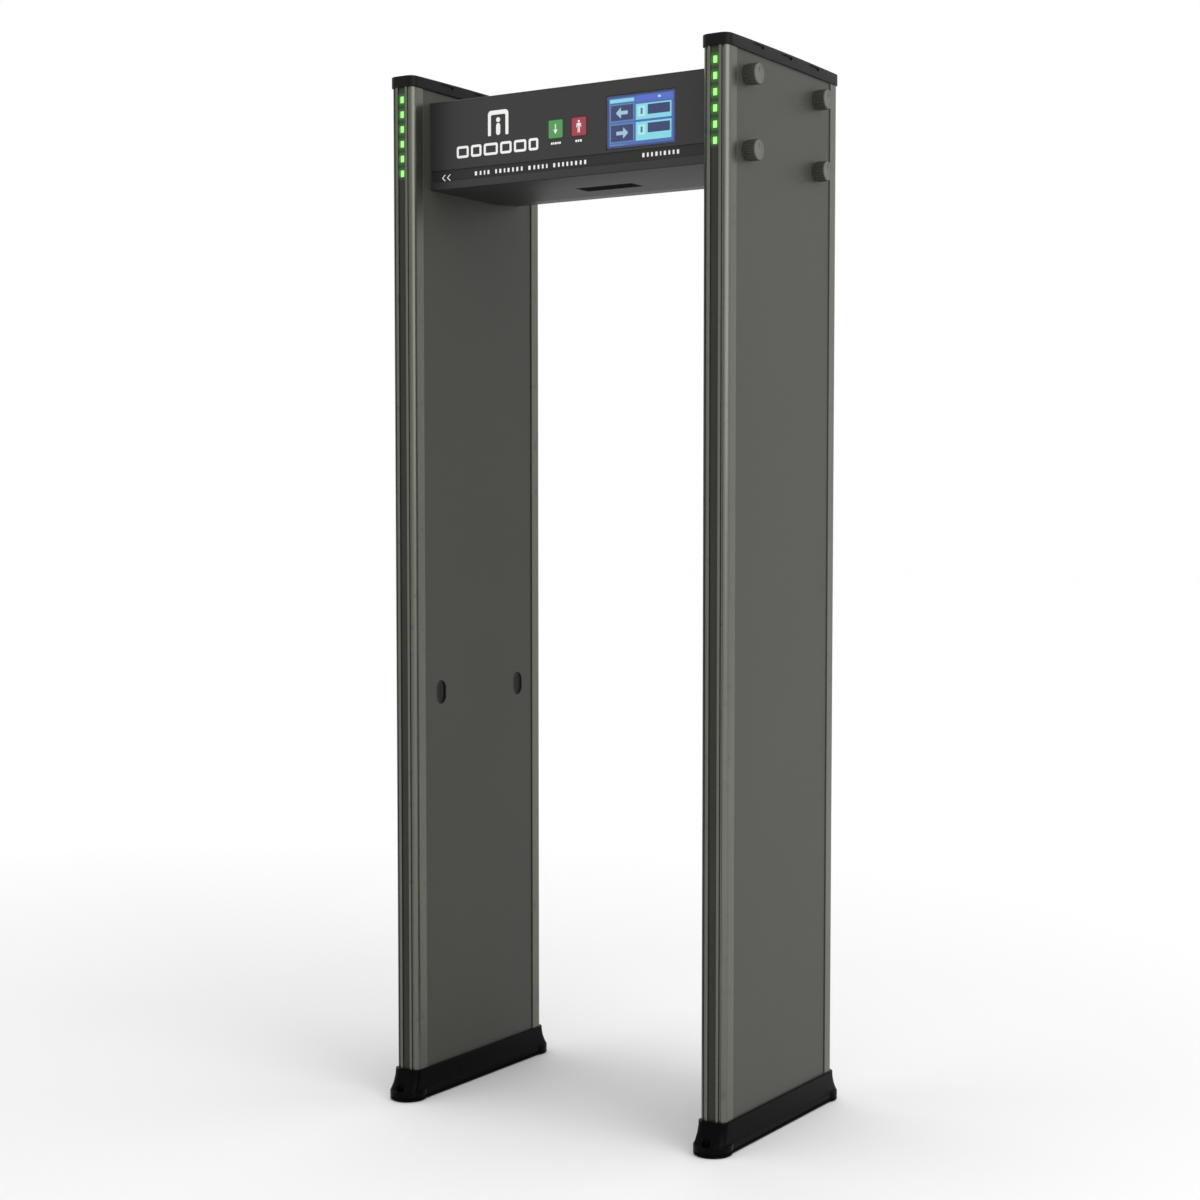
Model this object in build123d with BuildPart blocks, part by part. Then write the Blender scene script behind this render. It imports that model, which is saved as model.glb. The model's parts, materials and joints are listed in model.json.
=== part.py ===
from build123d import *
import math
import os

os.makedirs("parts", exist_ok=True)

# A walk-through metal detector gate. X runs across the passage, Y through it from the
# approach side to the exit side, and Z is up. The origin is on the floor, in the middle.

# Overall sizes
overall_height = 2200.0
passage_width = 700.0
post_thickness = 58.0
post_depth = 488.0

# Extruded edge profiles of the posts
nose_radius = 16.0
profile_reach = 38.0
profile_wall = 2.4
lip_thickness = 1.8
leg_thickness = 1.8
slot_depth = 8.0
slot_clearance = 0.2
channel_width = 18.6
channel_mouth = 6.0
board_groove_width = 14.6
board_groove_depth = 4.0
flute_offset = 18.6
flute_inset = 0.3
flute_radius = 4.0

# Post panels and the seals beside them
panel_thickness = 4.0
panel_end_gap = 1.0
seal_width = 3.0
seal_height = 1.5

# Cover strips, light windows and light boards in the channels
strip_inset = 3.0
strip_side_clearance = 0.2
led_count = 6
led_pitch = 31.0
led_first_drop = 52.4
led_window_width = 11.0
led_window_height = 16.0
led_board_width = 13.6
led_board_thickness = 1.6
led_board_margin = 14.0
led_chip_size = 5.0
led_chip_height = 1.2

# Coils and the boards that carry them
coil_board_thickness = 6.0
coil_board_gap = 0.3
coil_width = 12.0
coil_height = 2.5
coil_margin = 22.0
coil_bottom = 90.0
coil_top_drop = 260.0
receiver_zones = 6
receiver_spacing = 14.0

# Obround sensor windows in the inner panels
sensor_height = 883.0
sensor_inset = 97.0
sensor_window_width = 36.0
sensor_window_height = 52.0
sensor_window_fit = 0.1
sensor_recess = 1.0
sensor_flange_rim = 4.0
sensor_flange_thickness = 1.5
sensor_module_width = 28.0
sensor_module_height = 36.0
sensor_module_depth = 10.0

# Feet
foot_height = 66.0
foot_floor = 12.0
foot_clearance = 0.3
foot_lift = 1.0
collar_wall = 3.7
collar_end_wall = 7.7
plinth_height = 22.0
lobe_radius = 40.0
lobe_overhang = 32.0
waist_half_width = 30.0
waist_blend_radius = 20.0
plinth_edge_radius = 3.0
flare_side = 6.0
flare_end = 24.0
flare_steps = 4
anchor_inset = 12.0
anchor_hole_radius = 4.5
anchor_pocket_radius = 9.0
anchor_pocket_floor = 16.0
pad_radius = 13.0
pad_thickness = 4.0
pad_inset = 75.0

# Top caps
cap_height = 26.0
cap_roof = 5.0
cap_overhang = 3.0
cap_clearance = 0.3
cap_edge_radius = 3.5
cap_notch_length = 36.0
cap_notch_height = 4.0
cap_notch_depth = 1.5
cap_notch_pitch = 122.0

# Crossbar housing
bar_drop = 52.0
bar_height = 186.0
bar_front_setback = 66.0
bar_rear_setback = 84.0
bar_shell = 2.5
bar_end_plate = 3.0
bar_top_lip = 12.0
bar_seam = 0.5
bottom_lip = 17.0
trim_band = 24.0
trim_overlap = 3.5
trim_thickness = 2.0
rear_rise = 9.0
rear_bend_reach = 88.0

# Clamping knobs, their sleeves and nuts
knob_inset_y = 17.0
knob_inset_z = 19.5
knob_radius = 21.0
knob_reach = 27.8
knob_gap = 0.3
knob_collar_radius = 19.0
knob_collar_length = 4.0
knob_face_radius = 19.4
knob_face_length = 2.0
knob_face_chamfer = 1.0
knob_dish_radius = 15.5
knob_dish_depth = 0.8
knob_flutes = 24
knob_flute_radius = 1.5
knob_mark_length = 7.0
knob_mark_width = 1.4
shank_radius = 4.0
shank_hole_radius = 4.5
thread_fit = 0.05
sleeve_wall = 2.5
sleeve_hole_clearance = 0.5
nut_radius = 7.0
nut_length = 18.0
nut_overrun = 2.0

# Cable grommets between crossbar and posts
grommet_radius = 12.0
grommet_bore = 8.0
grommet_flange = 3.0
grommet_flange_thickness = 2.0

# Front of the crossbar
face_centre_rise = 101.0
screen_x = 173.0
screen_width = 159.0
screen_height = 104.0
window_rim = 2.0
window_fit = 0.2
window_thickness = 2.0
window_corner_radius = 1.5
display_frame_rim = 2.5
display_frame_depth = 9.0
display_panel_depth = 4.0
display_board_thickness = 1.6
lamp_x = (-31.0, 26.0)
lamp_width = 41.0
lamp_height = 43.0
lamp_corner_radius = 6.0
lamp_fit = 0.2
lamp_proud = 0.6
lamp_holder_rim = 3.0
lamp_holder_depth = 12.0

# Underside grille and sounder
grille_width = 140.0
grille_depth = 50.0
grille_bend_gap = 65.0
grille_fit = 0.2
grille_thickness = 1.5
grille_slot_width = 3.0
grille_slot_length = 40.0
grille_slot_count = 15
grille_slot_pitch = 8.0
sounder_flange_rim = 6.0
sounder_flange_thickness = 3.0
sounder_radius = 22.0
sounder_length = 20.0

# Boards inside the crossbar
main_board_x = -190.0
main_board_width = 180.0
main_board_depth = 120.0
main_board_thickness = 1.6
main_board_setback = 110.0
standoff_radius = 3.5
standoff_height = 8.0
standoff_inset = 8.0
chip_height = 6.0
controller_size = 28.0
controller_points = ((-50.0, 20.0), (20.0, 25.0))
driver_width = 40.0
driver_depth = 14.0
driver_points = ((60.0, -20.0), (-20.0, -30.0))
supply_x = 170.0
supply_width = 110.0
supply_depth = 80.0
supply_height = 36.0
supply_setback = 110.0

# Service door in the back of the crossbar
door_width = 370.0
door_bottom_rise = 22.0
door_panel_height = 129.0
door_lap_x = 15.0
door_lap_z = 9.0
door_gap = 0.3
door_thickness = 2.5
hinge_x = 130.0
hinge_axis_out = 5.2
hinge_axis_rise = 6.0
knuckle_radius = 4.0
knuckle_length = 24.0
frame_knuckle_length = 12.0
knuckle_gap = 0.4
pin_radius = 2.0
pin_fit = 0.05
leaf_height = 12.0
leaf_thickness = 2.4
lock_inset_x = 35.0
lock_inset_z = 22.0
lock_housing_radius = 8.0
lock_flange_radius = 10.0
lock_flange_thickness = 2.0
plug_radius = 5.0
plug_fit = 0.05
plug_proud = 0.6
key_slot_length = 6.0
key_slot_width = 1.2
key_slot_depth = 3.0
cam_length = 27.0
cam_width = 10.0
cam_thickness = 1.8
cam_gap = 0.5

# Mains inlet with its rocker switch
inlet_inset = 60.0
inlet_rise = 100.0
inlet_width = 32.0
inlet_height = 25.0
inlet_depth = 24.0
inlet_bezel_rim = 4.0
inlet_bezel_thickness = 1.5
socket_width = 24.0
socket_height = 16.0
socket_depth = 18.0
blade_width = 2.0
blade_height = 5.0
blade_length = 11.0
blade_pitch = 7.0
switch_drop = 34.0
switch_width = 24.0
switch_height = 17.0
switch_wall = 2.0
rocker_gap = 0.3
rocker_axle_radius = 1.5
rocker_axle_length = 1.2
rocker_travel = 20.0
rocker_proud = 0.3
rocker_axis_in = 1.5

# Values worked out from the sizes above
post_x = (passage_width + post_thickness) / 2
post_half = post_thickness / 2
nose_y = -post_depth / 2
post_top = overall_height - cap_roof
cap_bottom = overall_height - cap_height
panel_outer = post_half - lip_thickness
panel_inner = panel_outer - panel_thickness
slot_inner = panel_inner - slot_clearance
leg_inner = slot_inner - leg_thickness
slot_floor_y = nose_y + profile_reach - slot_depth
panel_half_depth = -slot_floor_y - panel_end_gap
strip_thickness = channel_mouth - strip_inset
channel_floor_y = nose_y + channel_mouth + board_groove_depth
led_first_z = overall_height - led_first_drop
led_span = (led_count - 1) * led_pitch
led_centre_z = led_first_z - led_span / 2
sensor_y = post_depth / 2 - sensor_inset
sensor_points = [(-sensor_y, sensor_height), (sensor_y, sensor_height)]

bar_top = overall_height - bar_drop
bar_bottom = bar_top - bar_height
bar_front = nose_y + bar_front_setback
bar_rear = post_depth / 2 - bar_rear_setback
bar_end_x = post_x - panel_outer
bar_inner_x = bar_end_x - bar_end_plate
bar_centre_z = (bar_top + bar_bottom) / 2
front_back_y = bar_front + bar_shell
rear_back_y = bar_rear - bar_shell
floor_z = bar_bottom + bar_shell
bend_y = bar_rear - rear_bend_reach
fascia_bottom = bar_bottom + bottom_lip + trim_band
fascia_top = bar_top - bar_top_lip - bar_seam
face_z = bar_bottom + face_centre_rise
knob_ys = (bar_front + knob_inset_y, bar_rear - knob_inset_y)
knob_zs = (bar_top - knob_inset_z, bar_bottom + knob_inset_z)
knob_points = [(y, z) for y in knob_ys for z in knob_zs]
grommet_point = ((bar_front + bar_rear) / 2, bar_centre_z)
sleeve_bore = shank_hole_radius
sleeve_radius = sleeve_bore + sleeve_wall
grille_y = bend_y - grille_bend_gap - grille_depth / 2

door_bottom = bar_bottom + door_bottom_rise
door_top = door_bottom + door_panel_height
door_centre_z = (door_bottom + door_top) / 2
door_face = bar_rear + door_gap
hinge_y = bar_rear + hinge_axis_out
hinge_z = door_top + hinge_axis_rise
lock_x = door_width / 2 - lock_inset_x
lock_z = door_bottom + lock_inset_z
cam_back = rear_back_y - cam_gap - cam_thickness
inlet_x = bar_inner_x - inlet_inset
inlet_z = bar_bottom + inlet_rise
switch_z = inlet_z - switch_drop
rocker_y = bar_rear - rocker_axis_in


def across(x, y=0.0, z=0.0):
    """Plane facing +X, with its own x along Y and its own y along Z."""
    return Plane(origin=(x, y, z), x_dir=(0, 1, 0), z_dir=(1, 0, 0))


def facing(y, x=0.0, z=0.0):
    """Plane facing the approach side, with its own x along X and its own y along Z."""
    return Plane(origin=(x, y, z), x_dir=(1, 0, 0), z_dir=(0, -1, 0))


def level(z, x=0.0, y=0.0):
    """Horizontal plane."""
    return Plane(origin=(x, y, z))


def save(piece, name):
    """Label a finished piece and write it."""
    piece.label = name
    export_step(piece, f"parts/{name}.step")


def save_pair(right, name):
    """Write a right-hand piece and its mirrored left-hand twin."""
    save(right, f"right_{name}")
    with BuildPart() as left:
        mirror(right, about=Plane.YZ)
    save(left.part, f"left_{name}")


def edge_section():
    """Section of the approach-side edge profile of the right-hand post."""
    with BuildSketch(level(0, post_x, nose_y)) as hollow:
        with Locations((0, profile_wall)):
            Rectangle(
                post_thickness - 2 * profile_wall,
                profile_reach - slot_depth - 2 * profile_wall,
                align=(Align.CENTER, Align.MIN),
            )
        fillet(hollow.vertices().group_by(Axis.Y)[0], nose_radius - profile_wall)
        Rectangle(
            channel_width + 2 * profile_wall,
            channel_mouth + board_groove_depth + profile_wall,
            align=(Align.CENTER, Align.MIN),
            mode=Mode.SUBTRACT,
        )
        Rectangle(
            2 * flute_offset,
            flute_inset + flute_radius + profile_wall,
            align=(Align.CENTER, Align.MIN),
            mode=Mode.SUBTRACT,
        )
        with Locations((-flute_offset, flute_inset), (flute_offset, flute_inset)):
            Circle(flute_radius + profile_wall, mode=Mode.SUBTRACT)
    with BuildSketch(level(0, post_x, nose_y)) as section:
        Rectangle(post_thickness, profile_reach, align=(Align.CENTER, Align.MIN))
        fillet(section.vertices().group_by(Axis.Y)[0], nose_radius)
        add(hollow.sketch, mode=Mode.SUBTRACT)
        Rectangle(channel_width, channel_mouth, align=(Align.CENTER, Align.MIN), mode=Mode.SUBTRACT)
        Rectangle(
            board_groove_width,
            channel_mouth + board_groove_depth,
            align=(Align.CENTER, Align.MIN),
            mode=Mode.SUBTRACT,
        )
        with Locations((-flute_offset, flute_inset), (flute_offset, flute_inset)):
            Circle(flute_radius, mode=Mode.SUBTRACT)
        with Locations((0, profile_reach - slot_depth)):
            Rectangle(2 * leg_inner, slot_depth, align=(Align.CENTER, Align.MIN), mode=Mode.SUBTRACT)
        slot_centre = (slot_inner + panel_outer) / 2
        with Locations(
            (-slot_centre, profile_reach - slot_depth / 2), (slot_centre, profile_reach - slot_depth / 2)
        ):
            Rectangle(panel_outer - slot_inner, slot_depth, mode=Mode.SUBTRACT)
    return section.sketch


# Posts: edge profiles
with BuildPart() as front_profile:
    with BuildSketch(level(foot_floor)):
        add(edge_section())
    extrude(amount=post_top - foot_floor)
save_pair(front_profile.part, "front_profile")

with BuildPart() as rear_profile:
    mirror(front_profile.part, about=Plane.XZ)
save_pair(rear_profile.part, "rear_profile")

# Posts: panels in the slots of the profiles
with BuildPart() as outer_panel:
    with BuildSketch(across(post_x + panel_inner, 0, (foot_floor + post_top) / 2)):
        Rectangle(2 * panel_half_depth, post_top - foot_floor)
    extrude(amount=panel_thickness)
    with BuildSketch(across(post_x + panel_inner)):
        with Locations(*knob_points):
            Circle(shank_hole_radius)
    extrude(amount=panel_thickness, mode=Mode.SUBTRACT)
save_pair(outer_panel.part, "outer_panel")

with BuildPart() as inner_panel:
    with BuildSketch(across(bar_end_x, 0, (foot_floor + post_top) / 2)):
        Rectangle(2 * panel_half_depth, post_top - foot_floor)
    extrude(amount=panel_thickness)
    with BuildSketch(across(bar_end_x)):
        with Locations(*knob_points):
            Circle(shank_hole_radius)
        with Locations(grommet_point):
            Circle(grommet_radius)
        with Locations(*sensor_points):
            SlotOverall(sensor_window_height, sensor_window_width, rotation=90)
    extrude(amount=panel_thickness, mode=Mode.SUBTRACT)
save_pair(inner_panel.part, "inner_panel")

# Seals run beside the lips of the profiles, between foot and cap
with BuildPart() as panel_seals:
    with BuildSketch(level(foot_height)):
        for side in (-1, 1):
            for end in (-1, 1):
                seal_x = post_x + side * (panel_outer + seal_height / 2)
                seal_y = end * (nose_y + profile_reach + seal_width / 2)
                with Locations((seal_x, seal_y)):
                    Rectangle(seal_height, seal_width)
    extrude(amount=cap_bottom - foot_height)
    mirror(about=Plane.YZ)
save(panel_seals.part, "panel_seals")

# Cover strips sit on the ledges of the channels
with BuildPart() as light_strips:
    with BuildSketch(level(foot_floor, post_x, nose_y + strip_inset)):
        Rectangle(
            channel_width - 2 * strip_side_clearance, strip_thickness, align=(Align.CENTER, Align.MIN)
        )
    extrude(amount=post_top - foot_floor)
    with BuildSketch(facing(nose_y + channel_mouth, post_x, led_centre_z)):
        with GridLocations(led_pitch, led_pitch, 1, led_count):
            Rectangle(led_window_width, led_window_height)
    extrude(amount=strip_thickness, mode=Mode.SUBTRACT)
    mirror(about=Plane.YZ)
save(light_strips.part, "light_strips")

with BuildPart() as led_windows:
    with BuildSketch(facing(nose_y + channel_mouth, post_x, led_centre_z)):
        with GridLocations(led_pitch, led_pitch, 1, led_count):
            Rectangle(led_window_width, led_window_height)
    extrude(amount=strip_thickness)
    mirror(about=Plane.YZ)
save(led_windows.part, "led_windows")

with BuildPart() as led_boards:
    with BuildSketch(facing(channel_floor_y, post_x, led_centre_z)):
        Rectangle(led_board_width, led_span + led_window_height + 2 * led_board_margin)
    extrude(amount=led_board_thickness)
    with BuildSketch(facing(channel_floor_y - led_board_thickness, post_x, led_centre_z)):
        with GridLocations(led_pitch, led_pitch, 1, led_count):
            Rectangle(led_chip_size, led_chip_size)
    extrude(amount=led_chip_height)
    mirror(about=Plane.YZ)
save(led_boards.part, "led_boards")

with BuildPart() as rear_strips:
    with BuildSketch(level(foot_floor, post_x, -nose_y - strip_inset)):
        Rectangle(
            channel_width - 2 * strip_side_clearance, strip_thickness, align=(Align.CENTER, Align.MAX)
        )
    extrude(amount=post_top - foot_floor)
    mirror(about=Plane.YZ)
save(rear_strips.part, "rear_strips")

# Coil boards stand in the feet, between the webs of the profiles
with BuildPart() as coil_board:
    with BuildSketch(across(post_x - coil_board_thickness / 2, 0, (foot_floor + post_top) / 2)):
        Rectangle(-2 * (slot_floor_y + coil_board_gap), post_top - foot_floor)
    extrude(amount=coil_board_thickness)
    with BuildSketch(across(post_x - coil_board_thickness / 2)):
        with Locations(*knob_points):
            Circle(sleeve_radius + sleeve_hole_clearance)
    extrude(amount=coil_board_thickness, mode=Mode.SUBTRACT)
save_pair(coil_board.part, "coil_board")

coil_face_x = post_x + coil_board_thickness / 2
coil_half_depth = -slot_floor_y - coil_margin
coil_top = overall_height - coil_top_drop
coil_span = coil_top - coil_bottom

with BuildPart() as transmitter_coil:
    with BuildSketch(across(-coil_face_x, 0, (coil_top + coil_bottom) / 2)):
        Rectangle(2 * coil_half_depth, coil_span)
        Rectangle(2 * (coil_half_depth - coil_width), coil_span - 2 * coil_width, mode=Mode.SUBTRACT)
    extrude(amount=-coil_height)
save(transmitter_coil.part, "transmitter_coil")

zone_height = (coil_span - (receiver_zones - 1) * receiver_spacing) / receiver_zones
with BuildPart() as receiver_coils:
    with BuildSketch(across(coil_face_x, 0, (coil_top + coil_bottom) / 2)):
        with GridLocations(1, zone_height + receiver_spacing, 1, receiver_zones):
            Rectangle(2 * coil_half_depth, zone_height)
        with GridLocations(1, zone_height + receiver_spacing, 1, receiver_zones):
            Rectangle(
                2 * (coil_half_depth - coil_width), zone_height - 2 * coil_width, mode=Mode.SUBTRACT
            )
    extrude(amount=coil_height)
save(receiver_coils.part, "receiver_coils")

# Sensor windows and the modules behind them
sensor_flange_x = bar_end_x + panel_thickness
with BuildPart() as sensor_windows:
    with BuildSketch(across(bar_end_x + sensor_recess)):
        with Locations(*sensor_points):
            SlotOverall(
                sensor_window_height - 2 * sensor_window_fit,
                sensor_window_width - 2 * sensor_window_fit,
                rotation=90,
            )
    extrude(amount=panel_thickness - sensor_recess)
    with BuildSketch(across(sensor_flange_x)):
        with Locations(*sensor_points):
            SlotOverall(
                sensor_window_height + 2 * sensor_flange_rim,
                sensor_window_width + 2 * sensor_flange_rim,
                rotation=90,
            )
    extrude(amount=sensor_flange_thickness)
    mirror(about=Plane.YZ)
save(sensor_windows.part, "sensor_windows")

with BuildPart() as sensor_modules:
    with BuildSketch(across(sensor_flange_x + sensor_flange_thickness)):
        with Locations(*sensor_points):
            Rectangle(sensor_module_width, sensor_module_height)
    extrude(amount=sensor_module_depth)
    mirror(about=Plane.YZ)
save(sensor_modules.part, "sensor_modules")

# Feet: a plinth with round end lobes, a flared skirt and the socket for the post
lobe_y = post_depth / 2 + lobe_overhang - lobe_radius
skirt_base = plinth_height
skirt_rise = foot_height - skirt_base
anchor_y = post_depth / 2 + lobe_overhang - anchor_inset

with BuildPart() as foot:
    with BuildSketch(level(foot_lift, post_x)) as plinth_plan:
        Rectangle(2 * waist_half_width, 2 * lobe_y)
        with Locations((0, -lobe_y), (0, lobe_y)):
            Circle(lobe_radius)
        waist_corners = plinth_plan.vertices().filter_by_position(
            Axis.Y, -lobe_y, lobe_y, inclusive=(False, False)
        )
        fillet(waist_corners, waist_blend_radius)
    extrude(amount=plinth_height - foot_lift)
    fillet(foot.faces().sort_by(Axis.Z)[0].outer_wire().edges(), plinth_edge_radius)
    fillet(foot.faces().sort_by(Axis.Z)[-1].outer_wire().edges(), plinth_edge_radius)
    for step in range(flare_steps):
        rise = step / (flare_steps - 1)
        spread = (1 - rise) ** 2
        half_width = post_half + collar_wall + (flare_side - plinth_edge_radius) * spread
        half_depth = post_depth / 2 + collar_end_wall + (flare_end - collar_end_wall) * spread
        with BuildSketch(level(skirt_base + rise * skirt_rise, post_x)):
            RectangleRounded(2 * half_width, 2 * half_depth, nose_radius + collar_wall)
    loft(ruled=True)
    with BuildSketch(level(foot_floor, post_x)):
        RectangleRounded(
            post_thickness + 2 * foot_clearance,
            post_depth + 2 * foot_clearance,
            nose_radius + foot_clearance,
        )
    extrude(amount=foot_height - foot_floor, mode=Mode.SUBTRACT)
    with BuildSketch(level(foot_lift, post_x)):
        with Locations((0, -anchor_y), (0, anchor_y)):
            Circle(anchor_hole_radius)
    extrude(amount=foot_height, mode=Mode.SUBTRACT)
    with BuildSketch(level(anchor_pocket_floor, post_x)):
        with Locations((0, -anchor_y), (0, anchor_y)):
            Circle(anchor_pocket_radius)
    extrude(amount=foot_height, mode=Mode.SUBTRACT)
    with BuildSketch(level(foot_lift, post_x)):
        with Locations((0, pad_inset - post_depth / 2), (0, 0), (0, post_depth / 2 - pad_inset)):
            Circle(pad_radius)
    extrude(amount=pad_thickness - foot_lift, mode=Mode.SUBTRACT)
save_pair(foot.part, "foot")

with BuildPart() as foot_pads:
    with BuildSketch(level(0, post_x)):
        with Locations((0, pad_inset - post_depth / 2), (0, 0), (0, post_depth / 2 - pad_inset)):
            Circle(pad_radius)
    extrude(amount=pad_thickness)
    mirror(about=Plane.YZ)
save(foot_pads.part, "foot_pads")

# Top caps slip over the posts
with BuildPart() as top_cap:
    with BuildSketch(level(cap_bottom, post_x)):
        RectangleRounded(
            post_thickness + 2 * cap_overhang, post_depth + 2 * cap_overhang, nose_radius + cap_overhang
        )
    extrude(amount=cap_height)
    fillet(top_cap.faces().sort_by(Axis.Z)[-1].outer_wire().edges(), cap_edge_radius)
    with BuildSketch(level(cap_bottom, post_x)):
        RectangleRounded(
            post_thickness + 2 * cap_clearance,
            post_depth + 2 * cap_clearance,
            nose_radius + cap_clearance,
        )
    extrude(amount=post_top - cap_bottom, mode=Mode.SUBTRACT)
    for side in (-1, 1):
        notch_x = post_x + side * (post_half + cap_overhang)
        with BuildSketch(across(notch_x, 0, overall_height - cap_edge_radius)):
            with GridLocations(cap_notch_pitch, 1, 3, 1):
                Rectangle(cap_notch_length, cap_notch_height, align=(Align.CENTER, Align.MAX))
        extrude(amount=cap_notch_depth, both=True, mode=Mode.SUBTRACT)
save_pair(top_cap.part, "top_cap")

# Crossbar housing: folded sheets between two end plates
with BuildPart() as bar_end_plates:
    with BuildSketch(across(bar_inner_x)):
        with BuildLine():
            Polyline(
                (bar_front, bar_bottom),
                (bend_y, bar_bottom),
                (bar_rear, bar_bottom + rear_rise),
                (bar_rear, bar_top),
                (bar_front, bar_top),
                close=True,
            )
        make_face()
        with Locations(*knob_points):
            Circle(shank_hole_radius, mode=Mode.SUBTRACT)
        with Locations(grommet_point):
            Circle(grommet_radius, mode=Mode.SUBTRACT)
    extrude(amount=bar_end_plate)
    mirror(about=Plane.YZ)
save(bar_end_plates.part, "bar_end_plates")

with BuildPart() as bar_bottom_plate:
    with BuildSketch(across(-bar_inner_x)):
        with BuildLine():
            Polyline(
                (bar_front, bar_bottom + bottom_lip),
                (bar_front, bar_bottom),
                (bend_y, bar_bottom),
                (bar_rear, bar_bottom + rear_rise),
                (bar_rear, floor_z + rear_rise),
                (bend_y, floor_z),
                (front_back_y, floor_z),
                (front_back_y, bar_bottom + bottom_lip),
                close=True,
            )
        make_face()
    extrude(amount=2 * bar_inner_x)
    with BuildSketch(level(bar_bottom, 0, grille_y)):
        Rectangle(grille_width, grille_depth)
    extrude(amount=bar_shell, mode=Mode.SUBTRACT)
save(bar_bottom_plate.part, "bar_bottom_plate")

with BuildPart() as bar_top_cover:
    with BuildSketch(across(-bar_inner_x)):
        with BuildLine():
            Polyline(
                (bar_front, bar_top - bar_top_lip),
                (bar_front, bar_top),
                (bar_rear, bar_top),
                (bar_rear, bar_top - bar_top_lip),
                (rear_back_y, bar_top - bar_top_lip),
                (rear_back_y, bar_top - bar_shell),
                (front_back_y, bar_top - bar_shell),
                (front_back_y, bar_top - bar_top_lip),
                close=True,
            )
        make_face()
    extrude(amount=2 * bar_inner_x)
save(bar_top_cover.part, "bar_top_cover")

window_width = screen_width + 2 * window_rim
window_height = screen_height + 2 * window_rim
with BuildPart() as bar_fascia:
    with BuildSketch(facing(front_back_y, 0, (fascia_bottom + fascia_top) / 2)):
        Rectangle(2 * bar_inner_x, fascia_top - fascia_bottom)
    extrude(amount=bar_shell)
    with BuildSketch(facing(front_back_y, 0, face_z)):
        with Locations((screen_x, 0)):
            RectangleRounded(window_width, window_height, window_corner_radius)
        with Locations(*[(x, 0) for x in lamp_x]):
            RectangleRounded(lamp_width, lamp_height, lamp_corner_radius)
    extrude(amount=bar_shell, mode=Mode.SUBTRACT)
save(bar_fascia.part, "bar_fascia")

with BuildPart() as bar_lower_trim:
    trim_bottom = bar_bottom + bottom_lip - trim_overlap
    trim_top = fascia_bottom + trim_overlap
    with BuildSketch(facing(front_back_y + trim_thickness, 0, (trim_bottom + trim_top) / 2)):
        Rectangle(2 * bar_inner_x, trim_top - trim_bottom)
    extrude(amount=trim_thickness)
save(bar_lower_trim.part, "bar_lower_trim")

rear_frame_bottom = floor_z + rear_rise
with BuildPart() as bar_rear_frame:
    with BuildSketch(facing(bar_rear, 0, (rear_frame_bottom + fascia_top) / 2)):
        Rectangle(2 * bar_inner_x, fascia_top - rear_frame_bottom)
    extrude(amount=bar_shell)
    with BuildSketch(facing(bar_rear)):
        with Locations((0, door_centre_z)):
            Rectangle(door_width - 2 * door_lap_x, door_panel_height - 2 * door_lap_z)
        with Locations((inlet_x, inlet_z)):
            Rectangle(inlet_width, inlet_height)
        with Locations((inlet_x, switch_z)):
            Rectangle(switch_width, switch_height)
    extrude(amount=bar_shell, mode=Mode.SUBTRACT)
save(bar_rear_frame.part, "bar_rear_frame")

# Knobs, sleeves and nuts that clamp the posts to the crossbar
knob_base_x = post_x + panel_outer + knob_gap
knob_tip_x = post_x + panel_outer + knob_reach
shank_end_x = bar_inner_x - nut_length + nut_overrun


def clamp_knob(y, z):
    """One right-hand knob, its fluted head outside the post and its shank in the nut."""
    with BuildPart() as knob:
        with BuildSketch(across(knob_base_x, y, z)):
            Circle(knob_collar_radius)
        extrude(amount=knob_collar_length)
        with BuildSketch(across(knob_base_x + knob_collar_length, y, z)):
            Circle(knob_radius)
            with PolarLocations(knob_radius, knob_flutes):
                Circle(knob_flute_radius, mode=Mode.SUBTRACT)
        extrude(amount=knob_tip_x - knob_face_length - knob_base_x - knob_collar_length)
        with BuildSketch(across(knob_tip_x - knob_face_length, y, z)):
            Circle(knob_face_radius)
        extrude(amount=knob_face_length)
        chamfer(knob.faces().sort_by(Axis.X)[-1].edges(), knob_face_chamfer)
        with BuildSketch(across(knob_tip_x, y, z)):
            Circle(knob_dish_radius)
        extrude(amount=-knob_dish_depth, mode=Mode.SUBTRACT)
        with BuildSketch(across(knob_tip_x - knob_dish_depth, y, z)):
            with Locations((0, knob_dish_radius / 2)):
                Rectangle(knob_mark_width, knob_mark_length)
        extrude(amount=-knob_dish_depth, mode=Mode.SUBTRACT)
        with BuildSketch(across(shank_end_x, y, z)):
            Circle(shank_radius)
        extrude(amount=knob_base_x - shank_end_x)
    return knob.part


for y, end in zip(knob_ys, ("front", "rear")):
    for z, row in zip(knob_zs, ("upper", "lower")):
        save_pair(clamp_knob(y, z), f"{row}_{end}_knob")

with BuildPart() as bolt_sleeves:
    with BuildSketch(across(post_x - panel_inner)):
        with Locations(*knob_points):
            Circle(sleeve_radius)
            Circle(sleeve_bore, mode=Mode.SUBTRACT)
    extrude(amount=2 * panel_inner)
    mirror(about=Plane.YZ)
save(bolt_sleeves.part, "bolt_sleeves")

with BuildPart() as end_plate_nuts:
    with BuildSketch(across(bar_inner_x - nut_length)):
        with Locations(*knob_points):
            Circle(nut_radius)
            Circle(shank_radius + thread_fit, mode=Mode.SUBTRACT)
    extrude(amount=nut_length)
    mirror(about=Plane.YZ)
save(end_plate_nuts.part, "end_plate_nuts")

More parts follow.
